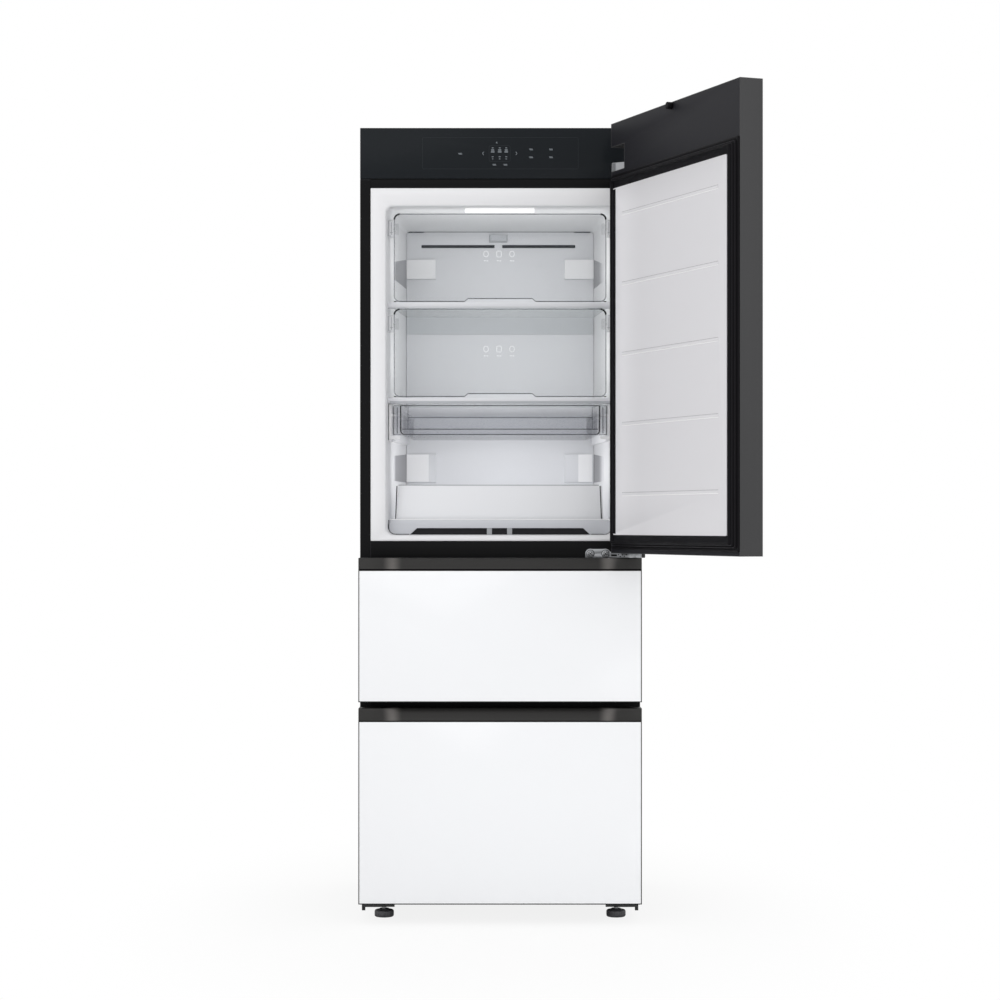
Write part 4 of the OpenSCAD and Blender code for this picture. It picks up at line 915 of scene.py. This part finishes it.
# Dark satin paint, translucent white polypropylene with a matt grain, and bright zinc on the rails.
handle_metal_painted_highlights = brushed_handle_painted_highlights()
shell_paint = moulded("drawer_shell_paint", "#242426", 0.45, grain_mm=1.6, grain_depth=0.06, shine=0.2)
bin_plastic = moulded("bin_polypropylene", "#dddee1", 0.45, grain_mm=1.0, grain_depth=0.06)
rail_steel = moulded("zinc_rail_steel", "#a9acb0", 0.3, grain_mm=1.0, grain_depth=0.05, Metallic=0.9)
rim_dark = moulded("shaded_front_rim", "#2a2a2b", 0.5, shine=0.1)
gap_dark = moulded("shaded_front_joint", "#0b0b0c", 0.7, shine=0.02)
for drawer in ("middle", "bottom"):
    finish(f"{drawer}_glass", white_glass, 0.5)
    finish(f"{drawer}_shell", shell_paint, 0.4)
    finish(f"{drawer}_handle", handle_metal_painted_highlights)
    finish(f"{drawer}_gasket", gasket_rubber, 1.5)
    finish(f"{drawer}_bin", bin_plastic, 1.2)
    finish(f"{drawer}_mid_rails", rail_steel, 0.3)
finish("cabinet_rails", rail_steel, 0.3)
rim_width, joint_height = 2.2, 2.6
rim_y = (DRAWER_FACE - 0.2, DRAWER_FACE + 0.1)
for drawer, z0, z1, joint in (("middle", 516.3, 822.2, 824.0), ("bottom", 45.6, 471.9, 470.2)):
    rims = both_sides(HALF_WIDTH - rim_width, HALF_WIDTH, *rim_y, z0, z1)
    rims += [(-HALF_WIDTH, HALF_WIDTH, *rim_y, z0, z0 + rim_width)]
    bars(f"{drawer}_front_rims", rims, f"{drawer}_drawer", rim_dark)
    joint_row = (-HALF_WIDTH, HALF_WIDTH, *rim_y, joint, joint + joint_height)
    bars(f"{drawer}_front_joint", [joint_row], f"{drawer}_drawer", gap_dark)
bars("beam_end_seams", both_sides(304.6, 305.4, -0.3, 0, 853, 890), "cabinet", rubber_fold)
for drawer, top in (("middle", 852.2), ("bottom", 501.9)):
    channel = handle_channel(f"{drawer}_handle_channel", top, f"{drawer}_drawer")
    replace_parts(channel, f"{drawer}_handle")


# ---- Base and machine room ----
# Behind the vented cover the compressor, finned condenser and fan stand on an enamelled steel tray.
# Two nylon feet turn on zinc studs in front, and two nylon rollers carry the rear.

FOOT_X = 275
FOOT_Y = 40


def turned(name, profile, place, body, material, around=48, grips=0, grip_depth=0.0):
    """A lathe form: radius r(z) swept round Z, times 1 - depth (1 + cos(grips a)) / 2 where it is gripped."""
    angle = np.linspace(0, 2 * np.pi, around, endpoint=False)[None, :]
    radius, z, gripped = np.asarray(profile, float).T[:, :, None]
    radius = radius * (1 - gripped * grip_depth * (1 + np.cos(grips * angle)) / 2)
    height = np.broadcast_to(z, (len(z), around))
    grid = np.stack([radius * np.cos(angle), radius * np.sin(angle), height], -1)
    return hang(name, to_frame(grid.reshape(-1, 3) + place), skin_rings(len(z), around), body, material)


# Gloss black enamel, bright aluminium fins, and matt nylon with moulded grips.
black_enamel = moulded("gloss_black_enamel", "#191a1c", 0.3, grain_mm=1.5, grain_depth=0.1)
fins = moulded("mill_aluminium", "#b9bcc0", 0.35, Metallic=0.9)
fan_plastic = moulded("fan_nylon", "#4c4d50", 0.5, grain_mm=1.0, grain_depth=0.05)
foot_nylon = moulded("foot_nylon", "#57575b", 0.45, grain_mm=1.0, grain_depth=0.1)
stud_steel = moulded("zinc_stud", "#a5a7a9", 0.35, Metallic=0.7)
finish("base_tray", black_enamel, 0.5)
bars("foot_bracket_ends", both_sides(249, 270, 2, 10, 28.4, 34), "cabinet", black_enamel)
finish("compressor", black_enamel, 1.0)
finish("condenser", moulded("coated_fins", "#54575b", 0.45, Metallic=0.6))
finish("evaporator", fins)
finish("condenser_fan", fan_plastic)
finish("evaporator_fan", fan_plastic)
finish("rear_rollers", foot_nylon, 1.0)

# Profiles of (radius, z, how far the grips show), from the floor up; the stud's ridges are its thread.
knob = [(18, 0, 0), (20.6, 0.5, 0.5), (22.4, 2.2, 1), (23, 5, 1), (23, 12.4, 1), (22.5, 14.8, 1)]
knob += [(21, 16.4, 0.6), (18.4, 17.3, 0.2), (12.4, 17.8, 0), (11, 20, 0)]
stud_radius, thread_depth, half_pitch, thread_low = 4.9, 0.5, 0.75, 20.2
thread = [(stud_radius - thread_depth * (i % 2), thread_low + half_pitch * i, 0) for i in range(40)]
stud = [(stud_radius, 19.4, 0)] + thread + [(4.4, 50.4, 0), (4.2, 55, 0)]
for side, foot in ((-1, "left"), (1, "right")):
    place, body = (side * FOOT_X, FOOT_Y, 0), f"{foot}_foot"
    sole = turned(f"{foot}_foot_knob", knob, place, body, foot_nylon, 96, grips=24, grip_depth=0.045)
    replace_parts(sole, f"foot_{foot}")
    turned(f"{foot}_foot_stud", stud, place, body, stud_steel, 20)
